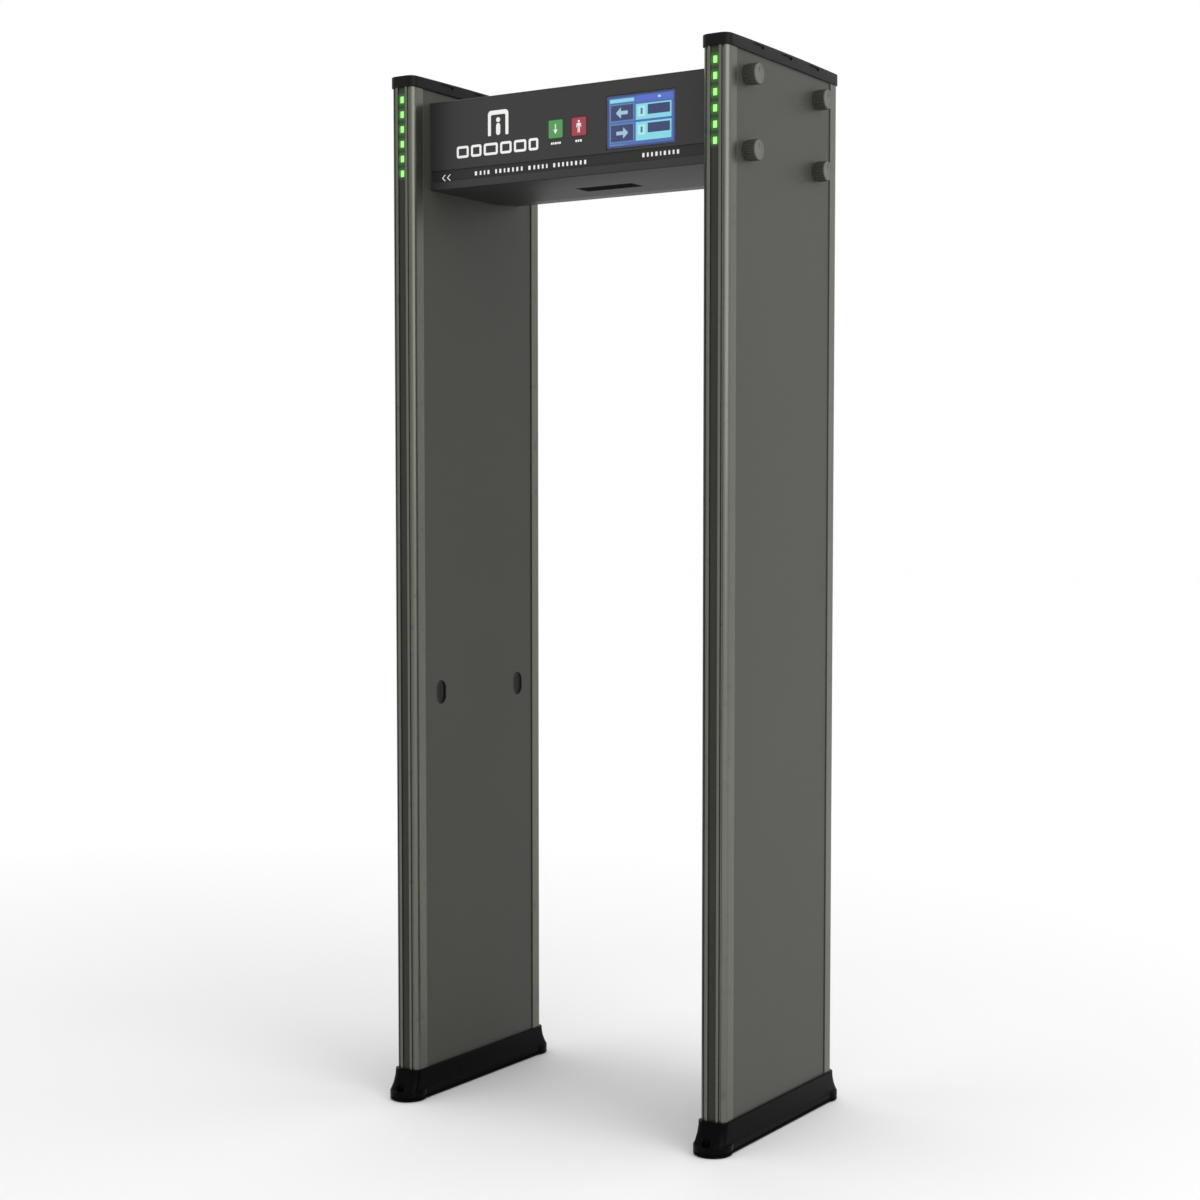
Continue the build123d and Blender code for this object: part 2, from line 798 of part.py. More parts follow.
# Grommets line the cable holes between crossbar and posts
with BuildPart() as cable_grommets:
    with BuildSketch(across(bar_inner_x - grommet_flange_thickness, *grommet_point)):
        Circle(grommet_radius + grommet_flange)
    extrude(amount=grommet_flange_thickness)
    with BuildSketch(across(bar_inner_x, *grommet_point)):
        Circle(grommet_radius)
    extrude(amount=bar_end_plate + panel_thickness)
    with BuildSketch(across(bar_end_x + panel_thickness, *grommet_point)):
        Circle(grommet_radius + grommet_flange)
    extrude(amount=grommet_flange_thickness)
    with BuildSketch(across(bar_inner_x - grommet_flange_thickness, *grommet_point)):
        Circle(grommet_bore)
    extrude(amount=bar_end_plate + panel_thickness + 2 * grommet_flange_thickness, mode=Mode.SUBTRACT)
    mirror(about=Plane.YZ)
save(cable_grommets.part, "cable_grommets")

# Display: clear window in the fascia, frame, panel and board behind it
with BuildPart() as display_window:
    with BuildSketch(facing(front_back_y, screen_x, face_z)):
        RectangleRounded(
            window_width - 2 * window_fit, window_height - 2 * window_fit, window_corner_radius
        )
    extrude(amount=window_thickness)
save(display_window.part, "display_window")

frame_back_y = front_back_y + display_frame_depth
with BuildPart() as display_frame:
    with BuildSketch(facing(frame_back_y, screen_x, face_z)):
        Rectangle(window_width + 2 * display_frame_rim, window_height + 2 * display_frame_rim)
        Rectangle(screen_width, screen_height, mode=Mode.SUBTRACT)
    extrude(amount=display_frame_depth)
save(display_frame.part, "display_frame")

with BuildPart() as display_panel:
    with BuildSketch(facing(front_back_y + display_panel_depth, screen_x, face_z)):
        Rectangle(screen_width, screen_height)
    extrude(amount=display_panel_depth)
save(display_panel.part, "display_panel")

with BuildPart() as display_board:
    with BuildSketch(facing(frame_back_y + display_board_thickness, screen_x, face_z)):
        Rectangle(window_width + 2 * display_frame_rim, window_height + 2 * display_frame_rim)
    extrude(amount=display_board_thickness)
save(display_board.part, "display_board")

# Indicator lamps and their holders
for x, name in zip(lamp_x, ("green_lamp", "red_lamp")):
    with BuildPart() as lamp:
        with BuildSketch(facing(front_back_y, x, face_z)):
            RectangleRounded(
                lamp_width - 2 * lamp_fit, lamp_height - 2 * lamp_fit, lamp_corner_radius - lamp_fit
            )
        extrude(amount=bar_shell + lamp_proud)
    save(lamp.part, name)

with BuildPart() as lamp_holders:
    with BuildSketch(facing(front_back_y + lamp_holder_depth, 0, face_z)):
        with Locations(*[(x, 0) for x in lamp_x]):
            RectangleRounded(
                lamp_width + 2 * lamp_holder_rim, lamp_height + 2 * lamp_holder_rim, lamp_corner_radius
            )
    extrude(amount=lamp_holder_depth)
save(lamp_holders.part, "lamp_holders")

# Sounder on its grille in the underside
with BuildPart() as sounder_grille:
    with BuildSketch(level(floor_z - grille_thickness, 0, grille_y)):
        Rectangle(grille_width - 2 * grille_fit, grille_depth - 2 * grille_fit)
        with GridLocations(grille_slot_pitch, 1, grille_slot_count, 1):
            SlotOverall(grille_slot_length, grille_slot_width, rotation=90, mode=Mode.SUBTRACT)
    extrude(amount=grille_thickness)
save(sounder_grille.part, "sounder_grille")

with BuildPart() as sounder:
    with BuildSketch(level(floor_z, 0, grille_y)):
        Rectangle(grille_width + 2 * sounder_flange_rim, grille_depth + 2 * sounder_flange_rim)
    extrude(amount=sounder_flange_thickness)
    with BuildSketch(level(floor_z + sounder_flange_thickness, 0, grille_y)):
        Circle(sounder_radius)
    extrude(amount=sounder_length)
save(sounder.part, "sounder")

# Main board on standoffs, with its chips
main_board_y = bar_front + main_board_setback
with BuildPart() as main_board:
    with BuildSketch(level(floor_z, main_board_x, main_board_y)):
        with GridLocations(
            main_board_width - 2 * standoff_inset, main_board_depth - 2 * standoff_inset, 2, 2
        ):
            Circle(standoff_radius)
    extrude(amount=standoff_height)
    with BuildSketch(level(floor_z + standoff_height, main_board_x, main_board_y)):
        Rectangle(main_board_width, main_board_depth)
    extrude(amount=main_board_thickness)
    with BuildSketch(level(floor_z + standoff_height + main_board_thickness, main_board_x, main_board_y)):
        with Locations(*controller_points):
            Rectangle(controller_size, controller_size)
        with Locations(*driver_points):
            Rectangle(driver_width, driver_depth)
    extrude(amount=chip_height)
save(main_board.part, "main_board")

with BuildPart() as power_supply:
    with BuildSketch(level(floor_z, supply_x, bar_front + supply_setback)):
        Rectangle(supply_width, supply_depth)
    extrude(amount=supply_height)
save(power_supply.part, "power_supply")

# Service door, hanging from two hinges above it
knuckle_offset = (knuckle_length + frame_knuckle_length) / 2 + knuckle_gap
with BuildPart() as service_door:
    with BuildSketch(facing(door_face + door_thickness, 0, door_centre_z)):
        Rectangle(door_width, door_panel_height)
    extrude(amount=door_thickness)
    with BuildSketch(facing(door_face + door_thickness, 0, door_top)):
        with Locations((-hinge_x, 0), (hinge_x, 0)):
            Rectangle(knuckle_length, hinge_axis_rise, align=(Align.CENTER, Align.MIN))
    extrude(amount=door_thickness)
    for x in (-hinge_x, hinge_x):
        with BuildSketch(across(x - knuckle_length / 2, hinge_y, hinge_z)):
            Circle(knuckle_radius)
        extrude(amount=knuckle_length)
        with BuildSketch(across(x - knuckle_length / 2, hinge_y, hinge_z)):
            Circle(pin_radius + pin_fit)
        extrude(amount=knuckle_length, mode=Mode.SUBTRACT)
    with BuildSketch(facing(door_face + door_thickness, 0, lock_z)):
        with Locations((-lock_x, 0), (lock_x, 0)):
            Circle(lock_housing_radius)
    extrude(amount=door_thickness, mode=Mode.SUBTRACT)
save(service_door.part, "service_door")

with BuildPart() as door_hinges:
    for x in (-hinge_x, hinge_x):
        with BuildSketch(facing(bar_rear + leaf_thickness, x, hinge_z)):
            with Locations((-knuckle_offset, 0), (knuckle_offset, 0)):
                Rectangle(frame_knuckle_length, leaf_height, align=(Align.CENTER, Align.MIN))
            with Locations((0, hinge_axis_out + knuckle_gap)):
                Rectangle(
                    2 * knuckle_offset,
                    leaf_height - hinge_axis_out - knuckle_gap,
                    align=(Align.CENTER, Align.MIN),
                )
        extrude(amount=leaf_thickness)
        for offset_x in (-knuckle_offset, knuckle_offset):
            knuckle_start = x + offset_x - frame_knuckle_length / 2
            with BuildSketch(across(knuckle_start, hinge_y, hinge_z)):
                Circle(knuckle_radius)
            extrude(amount=frame_knuckle_length)
            with BuildSketch(across(knuckle_start, hinge_y, hinge_z)):
                Circle(pin_radius + pin_fit)
            extrude(amount=frame_knuckle_length, mode=Mode.SUBTRACT)
save(door_hinges.part, "door_hinges")

pin_length = 2 * knuckle_offset + frame_knuckle_length
with BuildPart() as door_hinge_pins:
    for x in (-hinge_x, hinge_x):
        with BuildSketch(across(x - pin_length / 2, hinge_y, hinge_z)):
            Circle(pin_radius)
        extrude(amount=pin_length)
save(door_hinge_pins.part, "door_hinge_pins")

# Cam locks: housings fixed in the door, turning plugs with their cams
housing_back_y = rear_back_y - cam_gap + plug_fit
with BuildPart() as lock_housings:
    for x in (-lock_x, lock_x):
        with BuildSketch(facing(door_face + door_thickness, x, lock_z)):
            Circle(lock_housing_radius)
        extrude(amount=door_face + door_thickness - housing_back_y)
        with BuildSketch(facing(door_face + door_thickness + lock_flange_thickness, x, lock_z)):
            Circle(lock_flange_radius)
        extrude(amount=lock_flange_thickness)
        with BuildSketch(facing(door_face + door_thickness + lock_flange_thickness, x, lock_z)):
            Circle(plug_radius + plug_fit)
        extrude(
            amount=door_face + door_thickness + lock_flange_thickness - housing_back_y,
            mode=Mode.SUBTRACT,
        )
save(lock_housings.part, "lock_housings")

plug_face_y = door_face + door_thickness + lock_flange_thickness + plug_proud
with BuildPart() as lock:
    with BuildSketch(facing(plug_face_y, lock_x, lock_z)):
        Circle(plug_radius)
    extrude(amount=plug_face_y - cam_back)
    with BuildSketch(facing(cam_back + cam_thickness, lock_x, lock_z)):
        with Locations((0, -cam_width / 2)):
            Rectangle(cam_width, cam_length, align=(Align.CENTER, Align.MIN))
    extrude(amount=cam_thickness)
    with BuildSketch(facing(plug_face_y, lock_x, lock_z)):
        Rectangle(key_slot_width, key_slot_length)
    extrude(amount=key_slot_depth, mode=Mode.SUBTRACT)
save_pair(lock.part, "lock")

# Mains inlet and switch body, in one moulding behind the rear frame
bezel_face_y = bar_rear + inlet_bezel_thickness
switch_cavity = (switch_width - 2 * switch_wall, switch_height - 2 * switch_wall)
bezel_top = inlet_z + inlet_height / 2 + inlet_bezel_rim
bezel_bottom = switch_z - switch_height / 2 - inlet_bezel_rim
with BuildPart() as power_inlet:
    with BuildSketch(facing(bezel_face_y, inlet_x, (bezel_top + bezel_bottom) / 2)):
        RectangleRounded(inlet_width + 2 * inlet_bezel_rim, bezel_top - bezel_bottom, inlet_bezel_rim)
    extrude(amount=inlet_bezel_thickness)
    with BuildSketch(facing(bar_rear)):
        with Locations((inlet_x, inlet_z)):
            Rectangle(inlet_width, inlet_height)
        with Locations((inlet_x, switch_z)):
            Rectangle(switch_width, switch_height)
    extrude(amount=inlet_depth)
    with BuildSketch(facing(bezel_face_y, inlet_x, inlet_z)):
        Rectangle(socket_width, socket_height)
    extrude(amount=socket_depth + inlet_bezel_thickness, mode=Mode.SUBTRACT)
    with BuildSketch(facing(bezel_face_y, inlet_x, switch_z)):
        Rectangle(*switch_cavity)
    extrude(amount=socket_depth + inlet_bezel_thickness, mode=Mode.SUBTRACT)
    with BuildSketch(facing(bar_rear - socket_depth + blade_length, inlet_x, inlet_z)):
        with Locations((-blade_pitch, 0), (0, 0), (blade_pitch, 0)):
            Rectangle(blade_width, blade_height)
    extrude(amount=blade_length)
    axle_hole_half = switch_cavity[0] / 2 + rocker_axle_length
    with BuildSketch(across(inlet_x - axle_hole_half, rocker_y, switch_z)):
        Circle(rocker_axle_radius + pin_fit)
    extrude(amount=2 * axle_hole_half, mode=Mode.SUBTRACT)
save(power_inlet.part, "power_inlet")

rocker_radius = switch_cavity[1] / 2 - rocker_gap
rocker_half_width = switch_cavity[0] / 2 - rocker_gap
rocker_face = bezel_face_y + rocker_proud - rocker_y
rocker_lean = rocker_radius * math.tan(math.radians(rocker_travel))
with BuildPart() as power_rocker:
    with BuildSketch(across(inlet_x - rocker_half_width, rocker_y, switch_z)):
        Circle(rocker_radius)
        with BuildLine():
            Polyline(
                (rocker_face, -rocker_radius),
                (rocker_face, 0),
                (rocker_face + rocker_lean, rocker_radius),
                (2 * rocker_radius, rocker_radius),
                (2 * rocker_radius, -rocker_radius),
                close=True,
            )
        make_face(mode=Mode.SUBTRACT)
    extrude(amount=2 * rocker_half_width)
    axle_half = switch_cavity[0] / 2 + rocker_axle_length - rocker_gap
    with BuildSketch(across(inlet_x - axle_half, rocker_y, switch_z)):
        Circle(rocker_axle_radius)
    extrude(amount=2 * axle_half)
save(power_rocker.part, "power_rocker")
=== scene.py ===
# %% [markdown]
# # A walk-through metal detector gate
# The gate is two panelled posts on black feet, with a crossbar between them that holds the
# electronics. Its design is fixed in CAD, so this lesson only dresses it: sharp CAD shapes that the
# eye would catch get a finer surface, and everything gets a finish that reads as the real material.
# All lengths below are in metres, in the same frame as the CAD model.

# %% Load the frame
import json
import math
from collections import namedtuple

import bmesh
import bpy
import numpy as np
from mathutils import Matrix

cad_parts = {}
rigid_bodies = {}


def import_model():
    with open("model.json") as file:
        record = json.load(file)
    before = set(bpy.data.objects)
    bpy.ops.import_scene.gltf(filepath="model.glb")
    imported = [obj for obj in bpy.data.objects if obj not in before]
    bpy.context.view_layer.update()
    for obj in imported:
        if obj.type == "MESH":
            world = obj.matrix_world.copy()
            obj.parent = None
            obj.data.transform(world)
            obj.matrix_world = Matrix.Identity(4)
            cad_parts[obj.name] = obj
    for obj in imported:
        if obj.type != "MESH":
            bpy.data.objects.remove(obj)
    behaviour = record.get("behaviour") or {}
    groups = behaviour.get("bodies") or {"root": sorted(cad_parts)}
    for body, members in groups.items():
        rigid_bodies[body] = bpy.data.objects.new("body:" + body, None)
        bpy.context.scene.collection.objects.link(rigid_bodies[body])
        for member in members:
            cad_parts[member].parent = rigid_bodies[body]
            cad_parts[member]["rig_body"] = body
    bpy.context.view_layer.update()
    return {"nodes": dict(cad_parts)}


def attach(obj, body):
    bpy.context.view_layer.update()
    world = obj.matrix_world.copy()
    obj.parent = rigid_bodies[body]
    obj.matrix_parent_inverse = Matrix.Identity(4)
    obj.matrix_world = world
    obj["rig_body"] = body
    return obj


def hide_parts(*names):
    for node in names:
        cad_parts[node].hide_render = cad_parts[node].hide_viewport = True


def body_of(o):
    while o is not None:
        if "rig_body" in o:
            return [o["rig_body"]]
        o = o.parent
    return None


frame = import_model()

MM = 0.001
ROOT = "frame"
nodes = frame["nodes"]

# %% [markdown]
# ## The camera and the room
# The gate stands on a plain pale floor in a white studio. The camera is placed once, low and to the
# right. A long lens keeps the posts nearly upright, so that their proportions read true. The room
# is lit by a white sky and one large soft light high on the right, so that each face of the gate
# has its own shade and the floor only shows soft contact shadows.

# %% Camera
def put_in_scene(name, data):
    """A new object in the scene, at the origin, unturned and unscaled."""
    made = bpy.data.objects.new(name, data)
    bpy.context.scene.collection.objects.link(made)
    return made


camera_data = bpy.data.cameras.new("gate_camera")
camera_data.sensor_width = 36.0
camera_data.lens = 63.6
camera_data.shift_y = 0.03
camera_data.clip_end = 60.0
camera = put_in_scene("gate_camera", camera_data)
camera.location = (2.3965, -3.8732, 1.2697)
camera.rotation_euler = (math.radians(86.724), 0.0, math.radians(32.117))
bpy.context.scene.camera = camera
bpy.context.scene.view_settings.view_transform = "Standard"
print("lens", camera_data.lens, "mm")

# %% Studio light
gate_middle = np.array((0.0, 0.0, 1.1))
light_place = np.array((6.0, -1.6, 3.6))
light_data = bpy.data.lights.new("key_light", "AREA")
light_data.shape = "SQUARE"
light_data.size = 5.0
light_data.energy = 170.0
key_light = put_in_scene("key_light", light_data)
key_light.location = light_place
# The light is turned to face the middle of the gate.
aim = gate_middle - light_place
pitch = math.atan2(aim[2], math.hypot(aim[0], aim[1])) + math.pi / 2
key_light.rotation_euler = (pitch, 0.0, math.atan2(aim[1], aim[0]) - math.pi / 2)

world = bpy.data.worlds.new("white_studio")
world.use_nodes = True
sky = world.node_tree.nodes["Background"].inputs
sky["Color"].default_value = (1.0, 1.0, 1.0, 1.0)
sky["Strength"].default_value = 1.0
bpy.context.scene.world = world
print("light", light_data.energy, "W, sky strength", sky["Strength"].default_value)

# %% [markdown]
# ## Tools for materials
# Every finish here is built the same way as the real surface is: a base colour that is never quite
# even, a gloss that follows the grain, and the grain itself as fine bump. One function adds a
# shader node with its settings and links, and one makes the base finish that each material then
# refines.

# %% Colours and nodes
def linear(code):
    """Hex sRGB to linear light: c / 12.92 up to 0.04045, else ((c + 0.055) / 1.055) ** 2.4."""
    srgb = np.array([int(code[i:i + 2], 16) for i in (1, 3, 5)]) / 255
    value = np.where(srgb <= 0.04045, srgb / 12.92, ((srgb + 0.055) / 1.055) ** 2.4)
    return (*value.tolist(), 1.0)


def add_node(tree, kind, inputs, **settings):
    """Add one shader node: settings are its own fields, inputs are constants or sockets to link."""
    made = tree.nodes.new(kind)
    for field, value in settings.items():
        setattr(made, field, value)
    for socket, value in inputs.items():
        if isinstance(value, bpy.types.NodeSocket):
            tree.links.new(value, made.inputs[socket])
        else:
            made.inputs[socket].default_value = value
    return made


def per_metre(size_mm):
    """The scale of a noise whose cells are size_mm across."""
    return 1.0 / (size_mm * MM)


materials = {}
Coat = namedtuple("Coat", "tree shader place colour")


def finish(
    name, tones, gloss, patch_mm, grain_mm, depth_mm, specular=0.5, drawn=(1, 1, 1), **constants
):
    """
    Base finish: two tones mixed by soft patches, roughness between the two gloss values following
    the grain, and the grain as bump. drawn squeezes the grain's coordinates, so a small number on
    one axis makes lines along it. Constants are set on the shader's own sockets.
    """
    material = bpy.data.materials.new(name)
    material.use_nodes = True
    tree = material.node_tree
    shader = tree.nodes["Principled BSDF"]
    shader.inputs["Specular IOR Level"].default_value = specular
    for socket, value in constants.items():
        shader.inputs[socket.replace("_", " ")].default_value = value
    place = add_node(tree, "ShaderNodeTexCoord", {}).outputs["Object"]
    patches = {"Vector": place, "Scale": per_metre(patch_mm), "Detail": 5.0}
    patch = add_node(tree, "ShaderNodeTexNoise", patches).outputs["Fac"]
    mixed = {0: patch, 6: linear(tones[0]), 7: linear(tones[1])}
    colour = add_node(tree, "ShaderNodeMix", mixed, data_type="RGBA").outputs[2]
    tree.links.new(colour, shader.inputs["Base Color"])
    squeezed = add_node(tree, "ShaderNodeMapping", {"Vector": place, "Scale": drawn})
    grains = {"Vector": squeezed.outputs["Vector"], "Scale": per_metre(grain_mm), "Detail": 3.0}
    grain = add_node(tree, "ShaderNodeTexNoise", grains).outputs["Fac"]
    shiny, dull = gloss
    sheen = {"Value": grain, "From Min": 0.3, "From Max": 0.7, "To Min": shiny, "To Max": dull}
    roughness = add_node(tree, "ShaderNodeMapRange", sheen).outputs["Result"]
    tree.links.new(roughness, shader.inputs["Roughness"])
    relief = {"Height": grain, "Strength": 1.0, "Distance": depth_mm * MM}
    normal = add_node(tree, "ShaderNodeBump", relief).outputs["Normal"]
    tree.links.new(normal, shader.inputs["Normal"])
    materials[name] = material
    return Coat(tree, shader, place, colour)


def tint(coat, factor, hex_code):
    """Mix one more colour over the coat's own, where factor is high."""
    inputs = {0: factor, 6: coat.colour, 7: linear(hex_code)}
    over = add_node(coat.tree, "ShaderNodeMix", inputs, data_type="RGBA")
    coat.tree.links.new(over.outputs[2], coat.shader.inputs["Base Color"])


def speckle(coat, cell_mm, low, high):
    """A noise sharpened to specks: 0 below low, 1 above high."""
    cells = {"Vector": coat.place, "Scale": per_metre(cell_mm), "Detail": 2.0}
    noise = add_node(coat.tree, "ShaderNodeTexNoise", cells).outputs["Fac"]
    sharp = {"Value": noise, "From Min": low, "From Max": high}
    return add_node(coat.tree, "ShaderNodeMapRange", sharp).outputs["Result"]


# %% [markdown]
# ## The finishes of the posts
# The edge profiles are aluminium extrusions, anodised a warm dark grey: drawn through a die, they
# carry very fine lines along their length. The panels are laminate, a pressed sheet with a slight
# orange-peel skin. Feet and caps are moulded ABS, which is black with a fine spark-eroded texture
# and picks up dust and scuffs near the floor.

# %% Post finishes
# Anodised aluminium, drawn: soft metal gloss with lines along Z. Real die lines are about 0.05 mm
# apart, too fine to see here, so they are drawn 0.7 mm apart.
coat = finish(
    "anodised_aluminium_drawn", ("#5F605A", "#67685F"), (0.26, 0.36), 180.0, 0.7, 0.02,
    drawn=(1.0, 1.0, 0.004), Metallic=0.88,
)
# Dust and handling marks dull it in small patches.
tint(coat, speckle(coat, 26.0, 0.62, 0.80), "#575852")

# Laminate sheet, pressed: an even satin skin with orange peel about 1.6 mm across.
coat = finish(
    "laminate_pressed", ("#35362F", "#3A3B34"), (0.42, 0.52), 320.0, 1.6, 0.02, specular=0.35,
)
# The printed decor layer has tiny flecks a little lighter than the ground.
tint(coat, speckle(coat, 2.2, 0.60, 0.74), "#41423B")

# ABS, injection moulded in a spark-eroded tool: black, satin, with a 0.8 mm grain.
finish("abs_moulded_cap", ("#0A0A0A", "#121211"), (0.30, 0.42), 60.0, 0.8, 0.03, specular=0.10)

# The feet are the same plastic from a smoother tool: blacker, and a little glossier.
coat = finish(
    "abs_moulded_foot", ("#040404", "#080807"), (0.24, 0.36), 60.0, 0.8, 0.03, specular=0.03,
)
# Grey scuffs low down, where shoes and mops reach: they fade out with height.
scuff_height, scuff_share = 0.06, 0.40
height = add_node(coat.tree, "ShaderNodeSeparateXYZ", {"Vector": coat.place}).outputs["Z"]
fading = {"Value": height, "From Max": scuff_height, "To Min": scuff_share, "To Max": 0.0}
low_down = add_node(coat.tree, "ShaderNodeMapRange", fading).outputs["Result"]
product = {0: low_down, 1: speckle(coat, 7.0, 0.52, 0.72)}
scuffs = add_node(coat.tree, "ShaderNodeMath", product, operation="MULTIPLY").outputs["Value"]
tint(coat, scuffs, "#1C1C1A")

# EPDM rubber, extruded: matt black with a faint skin.
finish("epdm_extruded", ("#0E0E0D", "#151514"), (0.62, 0.75), 30.0, 1.2, 0.02)

# The same rubber mixed grey, for the joints on the approach side.
finish("epdm_extruded_grey", ("#3A3A37", "#40403C"), (0.55, 0.68), 30.0, 1.2, 0.02)

# Black screen ink.
finish("ink_black", ("#161615", "#1E1E1D"), (0.45, 0.6), 10.0, 0.6, 0.004)

# Polycarbonate, extruded, smoked: glossy dark strip that sits in the channel of each profile.
coat = finish(
    "polycarbonate_smoked", ("#272822", "#2D2E28"), (0.22, 0.30), 90.0, 2.0, 0.005, specular=0.2,
)
# Light leaks into the strip beside the windows. It is full at a window's middle and fades to the
# point halfway to the next window, and it stops a little beyond the lowest and the highest one.
window_top, window_pitch, window_count = 2147.6, 31.0, 6
half_pitch = window_pitch / 2 * MM
leak_least, leak_strength = 0.08, 0.8
fade_in, fade_out = (1.976, 1.990), (2.160, 2.170)
axes = add_node(coat.tree, "ShaderNodeSeparateXYZ", {"Vector": coat.place}).outputs
shifted = add_node(
    coat.tree, "ShaderNodeMath", {0: axes["Z"], 1: half_pitch - window_top * MM}, operation="ADD"
)
from_gap = add_node(
    coat.tree, "ShaderNodeMath", {0: shifted.outputs[0], 1: half_pitch}, operation="PINGPONG"
)
ramps = (
    (from_gap.outputs[0], (0.0, half_pitch), (leak_least, 1.0)),
    (axes["Z"], fade_in, (0.0, 1.0)),
    (axes["Z"], fade_out, (1.0, 0.0)),
)
factors = [
    add_node(
        coat.tree,
        "ShaderNodeMapRange",
        {"Value": value, "From Min": start, "From Max": stop, "To Min": first, "To Max": last},
    ).outputs["Result"]
    for value, (start, stop), (first, last) in ramps
]
# Only the strips on the approach side, at negative Y, have lights behind them.
in_front = add_node(coat.tree, "ShaderNodeMath", {0: axes["Y"], 1: 0.0}, operation="LESS_THAN")
leak = factors[0]
for factor in (*factors[1:], in_front.outputs[0], leak_strength):
    product = {0: leak, 1: factor}
    leak = add_node(coat.tree, "ShaderNodeMath", product, operation="MULTIPLY").outputs[0]
coat.shader.inputs["Emission Color"].default_value = linear("#2F8F1C")
coat.tree.links.new(leak, coat.shader.inputs["Emission Strength"])

# Glass-filled nylon, moulded: grey knobs with the dull, slightly mottled skin that the fibres give.
coat = finish(
    "nylon_glass_filled", ("#383835", "#40403C"), (0.45, 0.58), 14.0, 0.9, 0.03, specular=0.35,
)
tint(coat, speckle(coat, 3.0, 0.58, 0.72), "#4A4A46")
# The knob's face is sanded flatter and paler by the tool's insert.
finish("nylon_face", ("#4E4E4A", "#565651"), (0.40, 0.52), 9.0, 0.7, 0.02)
print("post finishes", sorted(materials))

# %% [markdown]
# ## The finishes of the crossbar
# The crossbar is folded steel sheet with a dark powder coat. A powder coat melts into a skin with a
# soft, even orange peel, about 2 mm across. Its lamps and display shine, which is done by emission
# on top of a glossy plastic.

# %% Crossbar finishes
# Powder coat on folded steel: charcoal on the housing, and a darker copy on the band along its foot
# that is painted shade of the recessed band, both with specks where the powder melted thin.
for coat_name, tones, gloss, patch_mm, specular, specks in (
    ("powder_coat_charcoal", ("#2B2B2A", "#303030"), (0.36, 0.46), 260.0, 0.3, "#2E2E2D"),
    ("powder_coat_trim_painted_shade", ("#232322", "#272726"), (0.40, 0.50), 200.0, 0.25, "#232322"),
):
    coat = finish(coat_name, tones, gloss, patch_mm, 2.0, 0.03, specular=specular)
    tint(coat, speckle(coat, 1.6, 0.60, 0.75), specks)

# The tray under the bar has the same coat in a flatter grade, because it faces the pale floor, and
# a darker tone, which is painted shade on the underside.
finish("powder_coat_underside_painted_shade", ("#262625", "#2A2A29"), (0.46, 0.56), 200.0, 2.0, 0.03, specular=0.12)

# Perforated steel, matt black.
finish("grille_enamel", ("#030303", "#060606"), (0.60, 0.72), 20.0, 1.0, 0.02, specular=0.01)

# Zinc-plated steel: pale, slightly blue and cloudy, for pins, hinges, locks and nuts.
coat = finish(
    "steel_zinc_plated", ("#B4B5B2", "#C4C5C4"), (0.24, 0.38), 8.0, 0.6, 0.01, Metallic=1.0,
)
tint(coat, speckle(coat, 5.0, 0.60, 0.80), "#A5A6A8")

# Acrylic, polished: the clear window in front of the display.
finish(
    "acrylic_clear", ("#F4F8FA", "#FAFCFD"), (0.02, 0.05), 50.0, 9.0, 0.001,
    Transmission_Weight=1.0, IOR=1.49,
)

# Acrylic, infrared-pass: nearly black and very glossy, in the sensor windows.
finish("acrylic_infrared", ("#0B0B0A", "#11110F"), (0.16, 0.24), 20.0, 6.0, 0.002, specular=0.12)

# Moulded black plastic inside the housing and on the inlet.
finish("pbt_moulded_black", ("#151515", "#1F1F1E"), (0.40, 0.52), 18.0, 0.8, 0.02)
print("crossbar finishes", sorted(materials))


# %% Shining finishes
def shining(name, tones, glow, strength):
    """A glossy plastic lit from behind: its base finish, and emission in one colour."""
    coat = finish(name, tones, (0.18, 0.26), 9.0, 1.5, 0.004, specular=0.3)
    coat.shader.inputs["Emission Color"].default_value = linear(glow)
    coat.shader.inputs["Emission Strength"].default_value = strength


shining("light_window_green", ("#3C8A32", "#449438"), "#ADEE8C", 0.95)
shining("lamp_green", ("#123818", "#16401C"), "#508952", 1.0)
shining("lamp_red", ("#2A0C12", "#321016"), "#983A48", 1.0)
# The dark rims only catch some light from their lamps.
shining("lamp_rim_green", ("#10240F", "#142A13"), "#2A5A2C", 0.35)
shining("lamp_rim_red", ("#240E10", "#2A1214"), "#6A2A30", 0.35)
# The display's fields are one dark glass and differ only in the light behind it.
for field_name, glow in (
    ("screen_glow", "#35457A"), ("screen_blue", "#4A6AB2"), ("screen_bright", "#546CCC"),
    ("screen_line", "#5F86B4"), ("screen_cyan", "#88DCEA"), ("screen_navy", "#303E6C"),
    ("screen_text", "#A4C8DA"), ("screen_white", "#B4ECEA"),
):
    shining(field_name, ("#0C1018", "#10141E"), glow, 0.95)
# Screen-printed ink: plain white, slightly chalky.
finish("ink_white", ("#E4E4E2", "#EEEEEC"), (0.40, 0.55), 25.0, 0.7, 0.006)
print("with the shining ones", len(materials), "finishes")

# %% [markdown]
# ## The finishes inside
# Behind the service door and the panels sit boards, windings and a power supply. They are seen only
# when the door is open, but a part that is looked at from all sides has them finished as well.

# %% Inner finishes
# Solder mask over copper on a circuit board: deep green with faint tracks as fine lines.
coat = finish("solder_mask_green", ("#0E3B22", "#134A2B"), (0.22, 0.34), 12.0, 1.4, 0.02)
tracks = add_node(
    coat.tree, "ShaderNodeTexBrick", {"Vector": coat.place, "Scale": 60.0, "Mortar Size": 0.03}
)
tint(coat, tracks.outputs["Fac"], "#1F6B3D")

# Rigid foam board, hot-wire cut: pale, dry and slightly pitted.
finish("foam_board_cut", ("#CFCBBE", "#DAD6CA"), (0.75, 0.9), 40.0, 2.5, 0.2)

